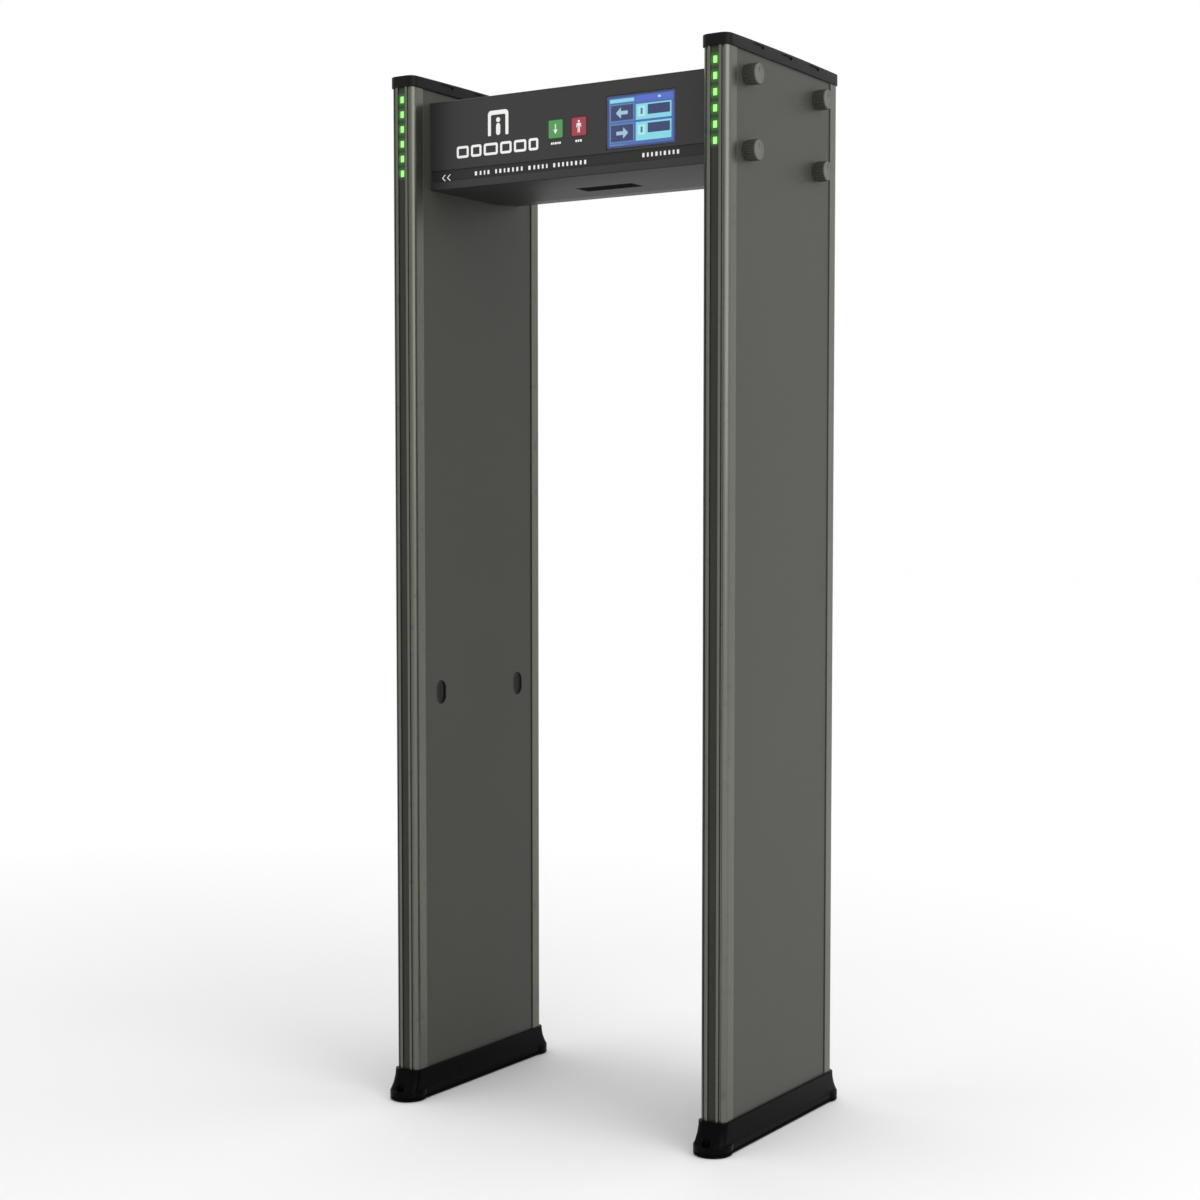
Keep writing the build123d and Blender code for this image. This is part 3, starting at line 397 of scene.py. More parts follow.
# Enamelled copper winding: the strands run along the loop as fine ribs.
finish("copper_enamelled", ("#8E4A22", "#A55A2B"), (0.24, 0.36), 15.0, 0.8, 0.05, Metallic=0.9)

# Nitrile rubber foot pads.
finish("nitrile_moulded", ("#101010", "#191918"), (0.7, 0.85), 12.0, 1.0, 0.04)
print("all finishes", len(materials))

# %% [markdown]
# ## Dress the CAD nodes
# A CAD node that already has the right shape only needs a finish. This table says which. Every node
# that isn't in it gets a finer piece in its place further down, so that none is left with the plain
# colour it was packed with.

# %% Node finishes
node_finish = {
    "laminate_pressed": ["outer_panel", "inner_panel"],
    "foam_board_cut": ["coil_board"],
    "epdm_extruded": ["cable_grommets"],
    "polycarbonate_smoked": ["light_strips", "rear_strips"],
    "solder_mask_green": ["led_boards", "main_board", "display_board"],
    "copper_enamelled": ["transmitter_coil", "receiver_coils"],
    "pbt_moulded_black": ["sensor_modules", "display_frame", "lamp_holders", "sounder"],
    "nitrile_moulded": ["foot_pads"],
    "steel_zinc_plated": ["power_supply", "bolt_sleeves", "end_plate_nuts", "door_hinge_pins"],
}
dressed = set()
for finish_name, endings in node_finish.items():
    for node_name, node in nodes.items():
        if any(("_" + node_name).endswith("_" + ending) for ending in endings):
            node.data.materials.clear()
            node.data.materials.append(materials[finish_name])
            dressed.add(node_name)
print("dressed", len(dressed), "of", len(nodes), "and a finer piece follows for each other one")

# %% [markdown]
# ## Tools for surfaces
# Most pieces of the gate are closed outlines carried along a line: an extruded profile, a moulded
# cap built of rounded rectangles, a turned knob. So the tools below make rings of points with numpy
# and stitch one ring to the next. Sharp tools cut holes afterwards, and a bevel breaks the edges,
# because no moulded, drawn or folded edge is ever perfectly sharp.

# %% Rings
def corner_ring(half_w, half_h, corner, steps):
    """Rounded rectangles: four quarter circles of radius corner, each centred a radius inwards."""
    half_w, half_h, corner = (np.asarray(v, float)[:, None] for v in (half_w, half_h, corner))
    angle = (np.linspace(0, 90, steps + 1) + 90 * np.arange(4)[:, None]).ravel()
    side = np.repeat([(1, 1), (-1, 1), (-1, -1), (1, -1)], steps + 1, axis=0).T
    across = side[0] * (half_w - corner) + corner * np.cos(np.radians(angle))
    along = side[1] * (half_h - corner) + corner * np.sin(np.radians(angle))
    return across, along


def on_front(x, z):
    """Turn (across, up, level) into a place on a face that looks to the approach side."""
    return lambda across, up, level: np.stack([x + across, level, z + up], axis=-1) * MM


def on_floor(x, y):
    """Turn (across, along, level) into a place on a level face."""
    return lambda across, along, level: np.stack([x + across, y + along, level], axis=-1) * MM


def on_side(y, z, side=1):
    """Turn (along, up, level) into a place on a face that looks along X."""
    return lambda along, up, level: np.stack([side * level, y + along, z + up], axis=-1) * MM


def stack(profile, half_w, half_h, corner, place, steps=8):
    """Rounded rectangles piled along a line: row k is shrunk by inset k and put at level k."""
    inset, level = np.array(profile, float).T
    radius = np.maximum(corner - inset, 0)
    across, along = corner_ring(half_w - inset, half_h - inset, radius, steps)
    return place(across, along, np.broadcast_to(level[:, None], across.shape))


def block(low, high, half_w, half_h, corner, place, steps=8):
    """A straight closed block with rounded corners, from one level to another."""
    return skin(stack([(0, low), (0, high)], half_w, half_h, corner, place, steps))


def prism(outline, low, high, place):
    """A flat outline carried straight from one level to another."""
    across, along = np.array(outline, float).T
    level = np.array([low, high], float)[:, None] + 0 * across
    return place(across + 0 * level, along + 0 * level, level)


def filleted(corners, radii, steps=5):
    """
    An outline with an arc in each corner. The arc's centre lies on the bisector, radius over the
    sine of the half angle away, and its points turn evenly from one tangent point to the other.
    """
    corners = np.array(corners, float)
    radii = np.broadcast_to(np.asarray(radii, float), len(corners))[:, None]
    back = np.roll(corners, 1, axis=0) - corners
    ahead = np.roll(corners, -1, axis=0) - corners
    back /= np.linalg.norm(back, axis=1, keepdims=True)
    ahead /= np.linalg.norm(ahead, axis=1, keepdims=True)
    half = np.arccos(np.clip((back * ahead).sum(1), -1, 1))[:, None] / 2
    bisector = back + ahead
    bisector /= np.linalg.norm(bisector, axis=1, keepdims=True)
    centre = corners + bisector * radii / np.sin(half)
    start = corners + back * radii / np.tan(half) - centre
    stop = corners + ahead * radii / np.tan(half) - centre
    turn = (math.pi - 2 * half)[:, None]
    share = np.linspace(0, 1, steps)[None, :, None]
    bow = np.sin((1 - share) * turn) * start[:, None] + np.sin(share * turn) * stop[:, None]
    return (centre[:, None] + bow / np.sin(turn)).reshape(-1, 2)


def arc(centre, radius, start, stop, steps):
    """Points of a circle from one angle to another, in degrees."""
    angle = np.radians(np.linspace(start, stop, steps))
    return np.array(centre) + radius * np.stack([np.cos(angle), np.sin(angle)], axis=1)


# %% Skins and pieces
def skin(rings, looped=False):
    """Quads between neighbouring rings, closed round each ring; the ends get a face, or join up."""
    rows, count = rings.shape[:2]
    index = np.arange(rows * count).reshape(rows, count)
    low, high = (index, np.roll(index, -1, axis=0)) if looped else (index[:-1], index[1:])
    quads = np.stack([low, np.roll(low, -1, 1), np.roll(high, -1, 1), high], axis=-1)
    faces = quads.reshape(-1, 4).tolist()
    if not looped:
        faces += [index[0][::-1].tolist(), index[-1].tolist()]
    return rings.reshape(-1, 3), faces


def shell(points, faces, number=0):
    """One closed surface as a mesh: doubles merged, normals turned outwards."""
    mesh = bpy.data.meshes.new("shell")
    mesh.from_pydata(points.tolist(), [], faces)
    mesh.polygons.foreach_set("material_index", np.full(len(mesh.polygons), number, "i"))
    work = bmesh.new()
    work.from_mesh(mesh)
    bmesh.ops.remove_doubles(work, verts=work.verts, dist=2e-6)
    bmesh.ops.recalc_face_normals(work, faces=work.faces)
    work.to_mesh(mesh)
    work.free()
    return mesh


def carve(piece, surface, operation="DIFFERENCE"):
    """Cut a closed surface out of a piece, or join it on."""
    tool = put_in_scene("tool", shell(*surface))
    cut = piece.modifiers.new("carve", "BOOLEAN")
    cut.object = tool
    cut.operation = operation
    cut.solver = "EXACT"
    bpy.context.view_layer.update()
    shaped = piece.evaluated_get(bpy.context.evaluated_depsgraph_get())
    old, piece.data = piece.data, bpy.data.meshes.new_from_object(shaped)
    piece.modifiers.clear()
    bpy.data.meshes.remove(old)
    bpy.data.objects.remove(tool)


def piece_of(
    name, surfaces, body, stands_for=(), cuts=(), joins=(), edge_mm=0.0, fold=35
):
    """
    A finished piece: closed surfaces with their finishes, joined or cut by others, shaded smooth
    except at folds, its edges broken by a small bevel, riding on its body.
    """
    finishes = list(dict.fromkeys(finish_name for _, finish_name in surfaces))
    whole = bmesh.new()
    for surface, finish_name in surfaces:
        one = shell(*surface, finishes.index(finish_name))
        whole.from_mesh(one)
        bpy.data.meshes.remove(one)
    mesh = bpy.data.meshes.new(name)
    whole.to_mesh(mesh)
    whole.free()
    for finish_name in finishes:
        mesh.materials.append(materials[finish_name])
    piece = put_in_scene(name, mesh)
    for surface in joins:
        carve(piece, surface, "UNION")
    for surface in cuts:
        carve(piece, surface)
    dress(piece, body, stands_for, edge_mm, fold)
    return piece


def dress(piece, body, stands_for, edge_mm, fold=35):
    """Shade, break the edges and fasten a piece to its body."""
    piece.data.shade_smooth()
    piece.data.set_sharp_from_angle(angle=math.radians(fold))
    if edge_mm:
        bevel = piece.modifiers.new("broken_edges", "BEVEL")
        bevel.width = edge_mm * MM
        bevel.segments = 2
        bevel.limit_method = "ANGLE"
        bevel.angle_limit = math.radians(fold)
        bevel.harden_normals = True
    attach(piece, body)
    if stands_for:
        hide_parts(*stands_for)


def softened(node_name, edge_mm, finish_name):
    """A copy of a CAD node, its triangles merged into faces, so that its edges can be broken."""
    source = nodes[node_name]
    mesh = source.data.copy()
    mesh.name = node_name + "_finished"
    work = bmesh.new()
    work.from_mesh(mesh)
    bmesh.ops.remove_doubles(work, verts=work.verts, dist=1e-6)
    flat = math.radians(1)
    bmesh.ops.dissolve_limit(work, angle_limit=flat, verts=work.verts, edges=work.edges)
    work.to_mesh(mesh)
    work.free()
    mesh.materials.clear()
    mesh.materials.append(materials[finish_name])
    piece = put_in_scene(mesh.name, mesh)
    dress(piece, body_of(source)[0], [node_name], edge_mm)


print("tools ready")

# %% [markdown]
# ## Edge profiles
# Each post is framed front and back by an aluminium extrusion with a rounded nose, a channel for
# the light strip and a flute on each side of it. The real one comes out of a die as one long bar.
# Here the die's outline is drawn as arcs and straight runs and carried from foot to cap in one
# step.

# %% Edge profiles
post_x, nose_y = 379.0, 244.0
post_low, post_high = 12.0, 2195.0
post_sides, post_ends = ((1, "right"), (-1, "left")), ((-1, "front"), (1, "rear"))
# Half the die's outline, as places across the post and in from its nose.
half_section = np.concatenate([
    [(0, 10), (7.3, 10), (7.3, 6), (9.3, 6), (9.3, 0)],
    arc((13, 16), 16, -90, -82.82, 3),
    arc((17.8, 2.7), 2.8, 180, 0, 12),
    arc((13, 16), 16, -61.64, 0, 14),
    [(29, 38), (27.2, 38), (27.2, 30), (23, 30), (23, 38), (21.2, 38), (21.2, 30)],
])
section = np.concatenate([half_section, half_section[::-1] * (-1, 1)])
for side, side_name in post_sides:
    for end, end_name in post_ends:
        outline = section * (1, -end) + (side * post_x, end * nose_y)
        bar = skin(prism(outline, post_low, post_high, on_floor(0, 0)))
        piece_of(
            f"{side_name}_{end_name}_extrusion", [(bar, "anodised_aluminium_drawn")], ROOT,
            [f"{side_name}_{end_name}_profile"], edge_mm=0.3, fold=30,
        )
print("section points", len(section))

# %% [markdown]
# ## Seals beside the profiles
# A soft bead closes the joint between profile and panel. The beads on the approach side are grey,
# to match the panel, and those on the exit side are black, so only those read as a line.

# %% Seals
panel_out, profile_reach, bead_r = 27.2, 38.0, 1.5
bead_low, bead_high = 66.0, 2174.0
seal_y = nose_y - profile_reach - bead_r
bead = arc((0, 0), bead_r, 0, 180, 11)
for (end, end_name), finish_name in zip(post_ends, ("epdm_extruded_grey", "epdm_extruded")):
    beads = []
    for side in (-1, 1):
        for face in (-1, 1):
            out = side * post_x + face * (panel_out + bead[:, 1])
            outline = np.stack([out, end * (seal_y + 0 * out) + bead[:, 0]], axis=1)
            rings = prism(outline, bead_low, bead_high, on_floor(0, 0))
            beads.append((skin(rings), finish_name))
    piece_of(f"{end_name}_seal_beads", beads, ROOT, ["panel_seals"])
print("beads at each end", len(beads))

# %% [markdown]
# ## Light windows
# Six small windows in each front channel show where on the body metal was found. Each is a clear
# lens with a faint dome in a thin dark holder, lit from behind by one diode.

# %% Light windows
holder = [(0, -238), (0, -240.7), (0.3, -241), (0.9, -241), (1.1, -240.8), (1.1, -238)]
lens = [
    (1.1, -238.2), (1.1, -240.7), (1.25, -240.9), (1.6, -241), (3, -241.2), (4.5, -241.3),
    (5.5, -241.3),
]
window_shape = (5.5, 8.0, 1.4)
lights = []
for side in (-1, 1):
    for step in range(window_count):
        place = on_front(side * post_x, window_top - window_pitch * step)
        dome = skin(stack(lens, *window_shape, place, 4))
        rim = skin(stack(holder, *window_shape, place, 4), looped=True)
        lights += [(dome, "light_window_green"), (rim, "polycarbonate_smoked")]
piece_of("light_lenses", lights, ROOT, ["led_windows"])
print("light windows", len(lights) // 2)

# %% [markdown]
# ## Top caps
# A moulded cap slips over the top of each post. It is a tray turned upside down: the profile goes
# from its roof down the inner wall, round the rim, up the outer wall, over a rounded edge and up a
# slight crown, and is carried round a rounded rectangle. Its top then drops towards both ends with
# the square of the distance. Shallow slots for the fixing clips are cut in its long sides.

# %% Top caps
cap_profile = [
    (2.7, 2195), (2.7, 2174.6), (2.2, 2174), (0.5, 2174), (0, 2174.5), (0, 2196.3),
    (0.27, 2197.6), (1.0, 2198.7), (2.1, 2199.3), (3.5, 2199.5), (12, 2199.8), (24, 2199.96),
    (32, 2200),
]
cap_half_w, cap_half_y, cap_corner, corner_steps = 32.0, 247.0, 19.0, 12
# The drop at the ends is full at the very top and nothing below bend_from.
end_drop, bend_from, bend_rise = 2.6, 2192.0, 8.0
slot_places, slot_z, slot_floor, slot_shape = (-122, 0, 122), 2190.8, 29.6, (22, 3.2, 3)
half_ring = 2 * (corner_steps + 1)
spacing = np.linspace(0, 1, 16)[1:-1, None]


def bridge(near, far):
    """Points spread evenly between two columns of a ring, so that a long side can bend."""
    return near[:, None] * (1 - spacing) + far[:, None] * spacing


for side, side_name in post_sides:
    middle = side * post_x
    clip_slots = [
        block(middle + face * slot_floor, middle + face * (cap_half_w + 2), *slot_shape,
              on_side(y, slot_z), 5)
        for face in (-1, 1) for y in slot_places
    ]
    rings = stack(
        cap_profile, cap_half_w, cap_half_y, cap_corner, on_floor(middle, 0), corner_steps
    )
    rings = np.concatenate([
        rings[:, :half_ring], bridge(rings[:, half_ring - 1], rings[:, half_ring]),
        rings[:, half_ring:], bridge(rings[:, -1], rings[:, 0]),
    ], axis=1)
    bend = np.clip((rings[..., 2] / MM - bend_from) / bend_rise, 0, 1)
    rings[..., 2] -= bend * end_drop * MM * (rings[..., 1] / (cap_half_y * MM)) ** 2
    piece_of(
        f"{side_name}_moulded_cap", [(skin(rings), "abs_moulded_cap")], ROOT,
        [f"{side_name}_top_cap"], cuts=clip_slots,
    )
print("cap rows", len(cap_profile), "slots", len(clip_slots))

# %% [markdown]
# ## Feet
# Each foot is a low plinth with a round lobe at both ends, where the floor bolts go, and a skirt
# that sweeps up to grip the post. The plinth's outline is a straight waist, a hollow blend and the
# lobe's circle. Because these are tangent arcs, the outline shrinks evenly by changing their radii.
# The skirt's spread falls with the square of the height, which gives the hollow flare.

# %% Feet
lobe_y, lobe_r, waist, blend_r = 236.0, 40.0, 36.2, 12.0
blend_x = waist + blend_r
blend_y = lobe_y - math.sqrt((lobe_r + blend_r) ** 2 - blend_x**2)
blend_turn = math.degrees(math.atan2(lobe_y - blend_y, blend_x))


def plinth_ring(inset):
    """The plinth's outline shrunk by inset: waist and lobe get smaller, the hollow blend larger."""
    quarter = np.concatenate([
        [(waist - inset, 0)],
        arc((blend_x, blend_y), blend_r + inset, 180, 180 - blend_turn, 8),
        arc((0, lobe_y), lobe_r - inset, -blend_turn, 90, 26),
    ])
    top = np.concatenate([quarter, (quarter * (-1, 1))[::-1]])
    return np.concatenate([top, -top])


plinth_profile = np.array([
    (4, 1), (1.8, 1.3), (0.5, 2.3), (0, 4), (0, 5.8), (3.2, 6.4), (3.2, 9.8), (0, 10.4),
    (0, 19.4), (0.25, 20.6), (0.8, 21.5), (1.6, 22),
])
plinth = np.stack([plinth_ring(inset) for inset, _ in plinth_profile])
plinth_level = np.broadcast_to(plinth_profile[:, 1:], plinth.shape[:2])
rise = np.linspace(0, 1, 15)
spread = (1 - rise) ** 2
skirt_w = np.concatenate([[34.5], 32.7 + 1.8 * spread, [32.4, 31.8]])
skirt_h = np.concatenate([[268], 251.7 + 16.3 * spread, [251.4, 250.8]])
skirt_z = np.concatenate([[21], 22 + 43.2 * rise, [65.8, 66]])
skirt_a, skirt_b = corner_ring(skirt_w, skirt_h, np.full(len(skirt_z), 19.7), corner_steps)
socket_shape = (29.3, 244.3, 16.3)
above_skirt = 70
hole_r, pocket_r, pocket_floor, bolt_y = 4.5, 9.0, 16, 264.0
for side, side_name in post_sides:
    place = on_floor(side * post_x, 0)
    socket = block(post_low, above_skirt, *socket_shape, place, corner_steps)
    bores = [
        block(low, high, radius, radius, radius, on_floor(side * post_x, end * bolt_y))
        for end in (-1, 1)
        for radius, low, high in (
            (hole_r, -1, pocket_floor + 2), (pocket_r, pocket_floor, above_skirt),
        )
    ]
    piece_of(
        f"{side_name}_moulded_foot",
        [(skin(place(plinth[..., 0], plinth[..., 1], plinth_level)), "abs_moulded_foot")],
        ROOT, [f"{side_name}_foot"],
        joins=[skin(place(skirt_a, skirt_b, skirt_z[:, None] + 0 * skirt_a))],
        cuts=[socket, *bores],
    )
print("foot rings", len(plinth_profile), "and", len(skirt_z))

# %% [markdown]
# ## Clamping knobs
# Eight hand knobs pull the posts against the crossbar. A knob is turned once round its axis: shank,
# collar, gripping head, face with a shallow dish. Scallops along the head give grip. They come from
# subtracting a circle's depth from the radius, twenty-four times round. A short line of ink on the
# face shows how far the knob has been turned.

# %% Knobs
flutes, flute_r, head_r = 24, 2.1, 21.0
# Rows of (level, radius, share of the scallop), from shank to face.
head_rows = np.array([
    (332.8, 0, 0), (332.8, 3.3, 0), (333.5, 4, 0), (406.5, 4, 0), (406.5, 18.4, 0),
    (407.1, 19, 0), (410.5, 19, 0), (410.5, 20.3, 0.6), (410.8, 20.8, 0.9), (411.4, head_r, 1),
    (431, head_r, 1), (431.6, 20.8, 0.9), (432, 20.2, 0.5), (432, 19.4, 0), (432, 0, 0),
])
face_rows = np.array([
    (431.5, 0, 0), (431.5, 19.4, 0), (433.1, 19.4, 0), (433.7, 19.1, 0), (434, 18.4, 0),
    (434, 16.1, 0), (433.8, 15.6, 0), (433.3, 15.3, 0), (433.2, 14.8, 0), (433.2, 0, 0),
])
tick_rows, tick_shape, tick_out = [(0, 433.0), (0, 433.3), (0.2, 433.38)], (1.2, 4.8, 1.2), 8.5
turn = np.linspace(0, 2 * math.pi, flutes * 10, endpoint=False)
offset = ((turn * flutes / (2 * math.pi) + 0.5) % 1 - 0.5) * 2 * math.pi * head_r / flutes
scallop = np.sqrt(np.clip(flute_r**2 - offset**2, 0, None))


def turned(rows, place):
    """The rows turned once round the knob's axis: radius less its share of the scallop."""
    radius = rows[:, 1:2] - rows[:, 2:3] * scallop
    return place(radius * np.cos(turn), radius * np.sin(turn), rows[:, :1] + 0 * radius)


for side, side_name in post_sides:
    for y, end_name in ((-161, "front"), (143, "rear")):
        for z, row_name in ((2128.5, "upper"), (1981.5, "lower")):
            node_name = f"{side_name}_{row_name}_{end_name}_knob"
            place = on_side(y, z, side)
            tick = stack(tick_rows, *tick_shape, on_side(y, z + tick_out, side), 5)
            piece_of(
                node_name + "_moulded",
                [(skin(turned(head_rows, place)), "nylon_glass_filled"),
                 (skin(turned(face_rows, place)), "nylon_face"), (skin(tick), "ink_black")],
                body_of(nodes[node_name])[0], [node_name], fold=40,
            )
print("knob points", (len(head_rows) + len(face_rows)) * len(turn))

# %% [markdown]
# ## Crossbar sheets
# The crossbar is folded from steel sheet 2.5 mm thick: a cover over the top, a tray underneath and
# a flat front plate between them. A press brake leaves an outside radius of about the sheet's
# thickness, so the folded outlines get arcs there, and the outlines are carried from one end plate
# to the other. The holes are cut afterwards, as a punch would.

# %% Folded sheets
bar_half, plate_front, plate_back = 348.8, -178.0, -175.5
face_z, screen_x = 2063.0, 173.0
lamp_places = {"green": -31.0, "red": 26.0}
punch_front, punch_back = -185, -170


def along_bar(across, up, level):
    """A section drawn in Y and Z, carried along X."""
    return np.stack([level, across, up], axis=-1) * MM


cover = filleted(
    [(-178, 2144.6), (-178, 2148), (160, 2148), (160, 2136), (157.5, 2136), (157.5, 2145.5),
     (-175.5, 2145.5), (-175.5, 2144.6)],
    (0.1, 3, 3, 0.4, 0.4, 0.6, 0.3, 0.1),
)
cover_skin = skin(prism(cover, -bar_half, bar_half, along_bar))
piece_of(
    "folded_top_cover", [(cover_skin, "powder_coat_charcoal")], ROOT,
    ["bar_top_cover"], edge_mm=0.3,
)
tray = filleted(
    [(-178, 1979), (-178, 1962), (72, 1962), (160, 1971), (160, 1973.5), (72, 1964.5),
     (-175.5, 1964.5), (-175.5, 1979)],
    (0.4, 3, 20, 0.4, 0.4, 20, 0.6, 0.4),
)
tray_skin = skin(prism(tray, -bar_half, bar_half, along_bar))
grille_hole = block(1955, 1969, 70, 25, 2, on_floor(0, -18))
# The tray takes the darker copy of the coat, painted shade, on all faces but its front lip.
bottom_tray = piece_of(
    "folded_bottom_tray", [(tray_skin, "powder_coat_underside_painted_shade")], ROOT,
    ["bar_bottom_plate"], cuts=[grille_hole], edge_mm=0.3,
)
# Its upright front lip has the gloss and unshaded colour of the plate above it.
bottom_tray.data.materials.append(materials["powder_coat_charcoal"])
tray_faces = bottom_tray.data.polygons
facing = np.empty(len(tray_faces) * 3, "f")
tray_faces.foreach_get("normal", facing)
tray_faces.foreach_set("material_index", (facing[1::3] < -0.7).astype("i"))
punched = [block(punch_front, punch_back, 81.5, 54, 1.5, on_front(screen_x, face_z))]
for x in lamp_places.values():
    punched.append(block(punch_front, punch_back, 20.5, 21.5, 6, on_front(x, face_z)))
plate = block(plate_back, plate_front, bar_half, 70.7, 0, on_front(0, 2073.7), 1)
piece_of(
    "punched_front_plate", [(plate, "powder_coat_charcoal")], ROOT,
    ["bar_fascia"], cuts=punched, edge_mm=0.4,
)
print("sheet sections", len(cover), len(tray))

# %% [markdown]
# ## Lamps
# Two square lamps show whether the person may pass. Each is a dark rim round a tinted lens that
# bulges slightly, with a plain sign printed on it in white: an arrow on the green one and a
# standing figure on the red one.

# %% Lamps
rim_profile = [
    (0, -175.5), (0, -178.2), (0.15, -178.5), (0.5, -178.6), (2.6, -178.6), (3.2, -178.2),
    (3.2, -175.5),
]
lens_profile = [
    (3.2, -175.6), (3.2, -178), (3.5, -178.25), (5, -178.4), (12, -178.5), (20, -178.52),
]
lamp_shape = (20.3, 21.3, 5.8)
ink_y = (-178.45, -178.7)


def bar_shape(start, stop, width, steps=6):
    """An obround from start to stop: two half circles joined by straight sides."""
    start, stop = np.array(start, float), np.array(stop, float)
    heading = math.degrees(math.atan2(*(stop - start)[::-1]))
    return np.concatenate([
        arc(stop, width / 2, heading - 90, heading + 90, steps),
        arc(start, width / 2, heading + 90, heading + 270, steps),
    ])


figure = [
    arc((0, 10.5), 2.4, 0, 345, 20),
    filleted([(-3.4, 7), (3.4, 7), (2.4, -1), (-2.4, -1)], 1.0),
    bar_shape((-4.3, 5.8), (-5.2, -1.2), 1.6),
    bar_shape((4.3, 5.8), (5.2, -1.2), 1.6),
    bar_shape((-1.5, -1), (-1.7, -11.5), 2.0),
    bar_shape((1.5, -1), (1.7, -11.5), 2.0),
]
arrow = [
    filleted([(-1.2, 10), (1.2, 10), (1.2, -2), (-1.2, -2)], 0.4),
    filleted([(-5, -1), (5, -1), (0, -10.5)], 0.6),
]
for colour_name, signs in (("green", arrow), ("red", figure)):
    place = on_front(lamp_places[colour_name], face_z)
    rim = skin(stack(rim_profile, *lamp_shape, place), looped=True)
    bulge = skin(stack(lens_profile, *lamp_shape, place))
    printed = [(skin(prism(sign, *ink_y, place)), "ink_white") for sign in signs]
    piece_of(
        f"{colour_name}_lamp_lens",
        [(rim, f"lamp_rim_{colour_name}"), (bulge, f"lamp_{colour_name}"), *printed],
        ROOT, [f"{colour_name}_lamp"],
    )
print("figure outlines", len(figure), "arrow outlines", len(arrow))

# %% [markdown]
# ## Display
# The display is a backlit panel behind a clear window. Its picture is a set of plain fields: two
# zone fields on the left with an arrow for each side of the gate, and two level fields on the
# right. The fields are painted as rectangles, later ones over earlier ones. The panel's front is
# then cut along every edge of every rectangle, and each tile takes the finish of the last rectangle
# on it. An arrow's head is five thin rectangles that widen from its tip.

# %% Display picture
screen_w, screen_h, panel_thick = 159.0, 104.0, 4.0
# Each field is its left, right, low and high edge, as shares of the screen, and its finish.
fields = [
    (0, 1, 0, 1, "screen_glow"), (0.025, 0.975, 0.035, 0.965, "screen_blue"),
    (0.04, 0.40, 0.865, 0.935, "screen_cyan"),
    (0.04, 0.40, 0.50, 0.835, "screen_line"), (0.055, 0.385, 0.52, 0.815, "screen_navy"),
    (0.04, 0.40, 0.10, 0.455, "screen_line"), (0.055, 0.385, 0.12, 0.435, "screen_navy"),
    (0.04, 0.27, 0.045, 0.07, "screen_line"),
    (0.425, 0.965, 0.84, 0.965, "screen_bright"), (0.75, 0.79, 0.885, 0.925, "screen_white"),
    (0.425, 0.945, 0.50, 0.80, "screen_cyan"), (0.60, 0.925, 0.585, 0.775, "screen_navy"),
    (0.455, 0.565, 0.555, 0.76, "screen_white"), (0.495, 0.525, 0.60, 0.72, "screen_blue"),
    (0.425, 0.945, 0.10, 0.455, "screen_cyan"), (0.60, 0.925, 0.235, 0.42, "screen_navy"),
    (0.455, 0.565, 0.205, 0.40, "screen_white"), (0.495, 0.525, 0.25, 0.36, "screen_blue"),
]
head_long, head_high, arrow_long, stem_high = 0.07, 0.10, 0.17, 0.035
steps = np.linspace(0, 1, 6)
for middle_z, heading in ((0.667, -1), (0.277, 1)):
    tip = 0.22 + heading * arrow_long / 2
    bars = [(head_long * a, head_long * b, head_high * b) for a, b in zip(steps, steps[1:])]
    for near, far, reach in (*bars, (head_long, arrow_long, stem_high)):
        left, right = sorted((tip - heading * near, tip - heading * far))
        fields.append((left, right, middle_z - reach, middle_z + reach, "screen_text"))
edges_x = np.unique(np.round([value for field in fields for value in field[:2]], 6))
edges_z = np.unique(np.round([value for field in fields for value in field[2:4]], 6))
mid_x = (edges_x[:-1] + edges_x[1:])[None, :] / 2
mid_z = (edges_z[:-1] + edges_z[1:])[:, None] / 2
field_names = list(dict.fromkeys(field[4] for field in fields))
tile_finish = np.zeros((len(mid_z), mid_x.shape[1]), int)
for left, right, low, high, field_name in fields:
    covered = (mid_x > left) & (mid_x < right) & (mid_z > low) & (mid_z < high)
    tile_finish[covered] = field_names.index(field_name)
grid_x, grid_z = np.meshgrid(
    (edges_x - 0.5) * screen_w + screen_x, (edges_z - 0.5) * screen_h + face_z
)
front = np.stack([grid_x, 0 * grid_x + plate_back, grid_z], axis=-1) * MM
back = front + (0, panel_thick * MM, 0)
index = np.arange(grid_x.size).reshape(grid_x.shape)
tiles = np.stack([index[:-1, :-1], index[:-1, 1:], index[1:, 1:], index[1:, :-1]], axis=-1)
border = np.concatenate([index[0, :-1], index[:-1, -1], index[-1, :0:-1], index[:0:-1, 0]])
behind = grid_x.size + np.arange(len(border))
rim = np.stack([border, behind, np.roll(behind, -1), np.roll(border, -1)], axis=-1)
display_mesh = bpy.data.meshes.new("display_picture")
display_mesh.from_pydata(
    np.concatenate([front.reshape(-1, 3), back.reshape(-1, 3)[border]]).tolist(), [],
    tiles.reshape(-1, 4).tolist() + rim.tolist() + [behind.tolist()],
)
for field_name in field_names:
    display_mesh.materials.append(materials[field_name])
numbers = np.concatenate([tile_finish.ravel(), np.zeros(len(rim) + 1, int)])
display_mesh.polygons.foreach_set("material_index", numbers.astype("i"))
display = put_in_scene("display_picture", display_mesh)
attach(display, ROOT)
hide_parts("display_panel")
window = stack(
    [(0, -175.5), (0, -177.1), (0.12, -177.38), (0.4, -177.5), (30, -177.5), (53, -177.5)],
    81.3, 53.8, 1.5, on_front(screen_x, face_z),
)
piece_of(
    "display_glass", [(skin(window), "acrylic_clear")], ROOT, ["display_window"]
)
print("display tiles", tile_finish.size, "fields", len(fields))

# %% [markdown]
# ## Printed marks
# White ink marks sit on the front plate and on the band below it. They are generic: a plain gate
# with a figure in it, a row of blocks where a name would be, and short dashes where small words
# would be. Each mark is a closed outline 0.12 mm thick, a little more than real ink.

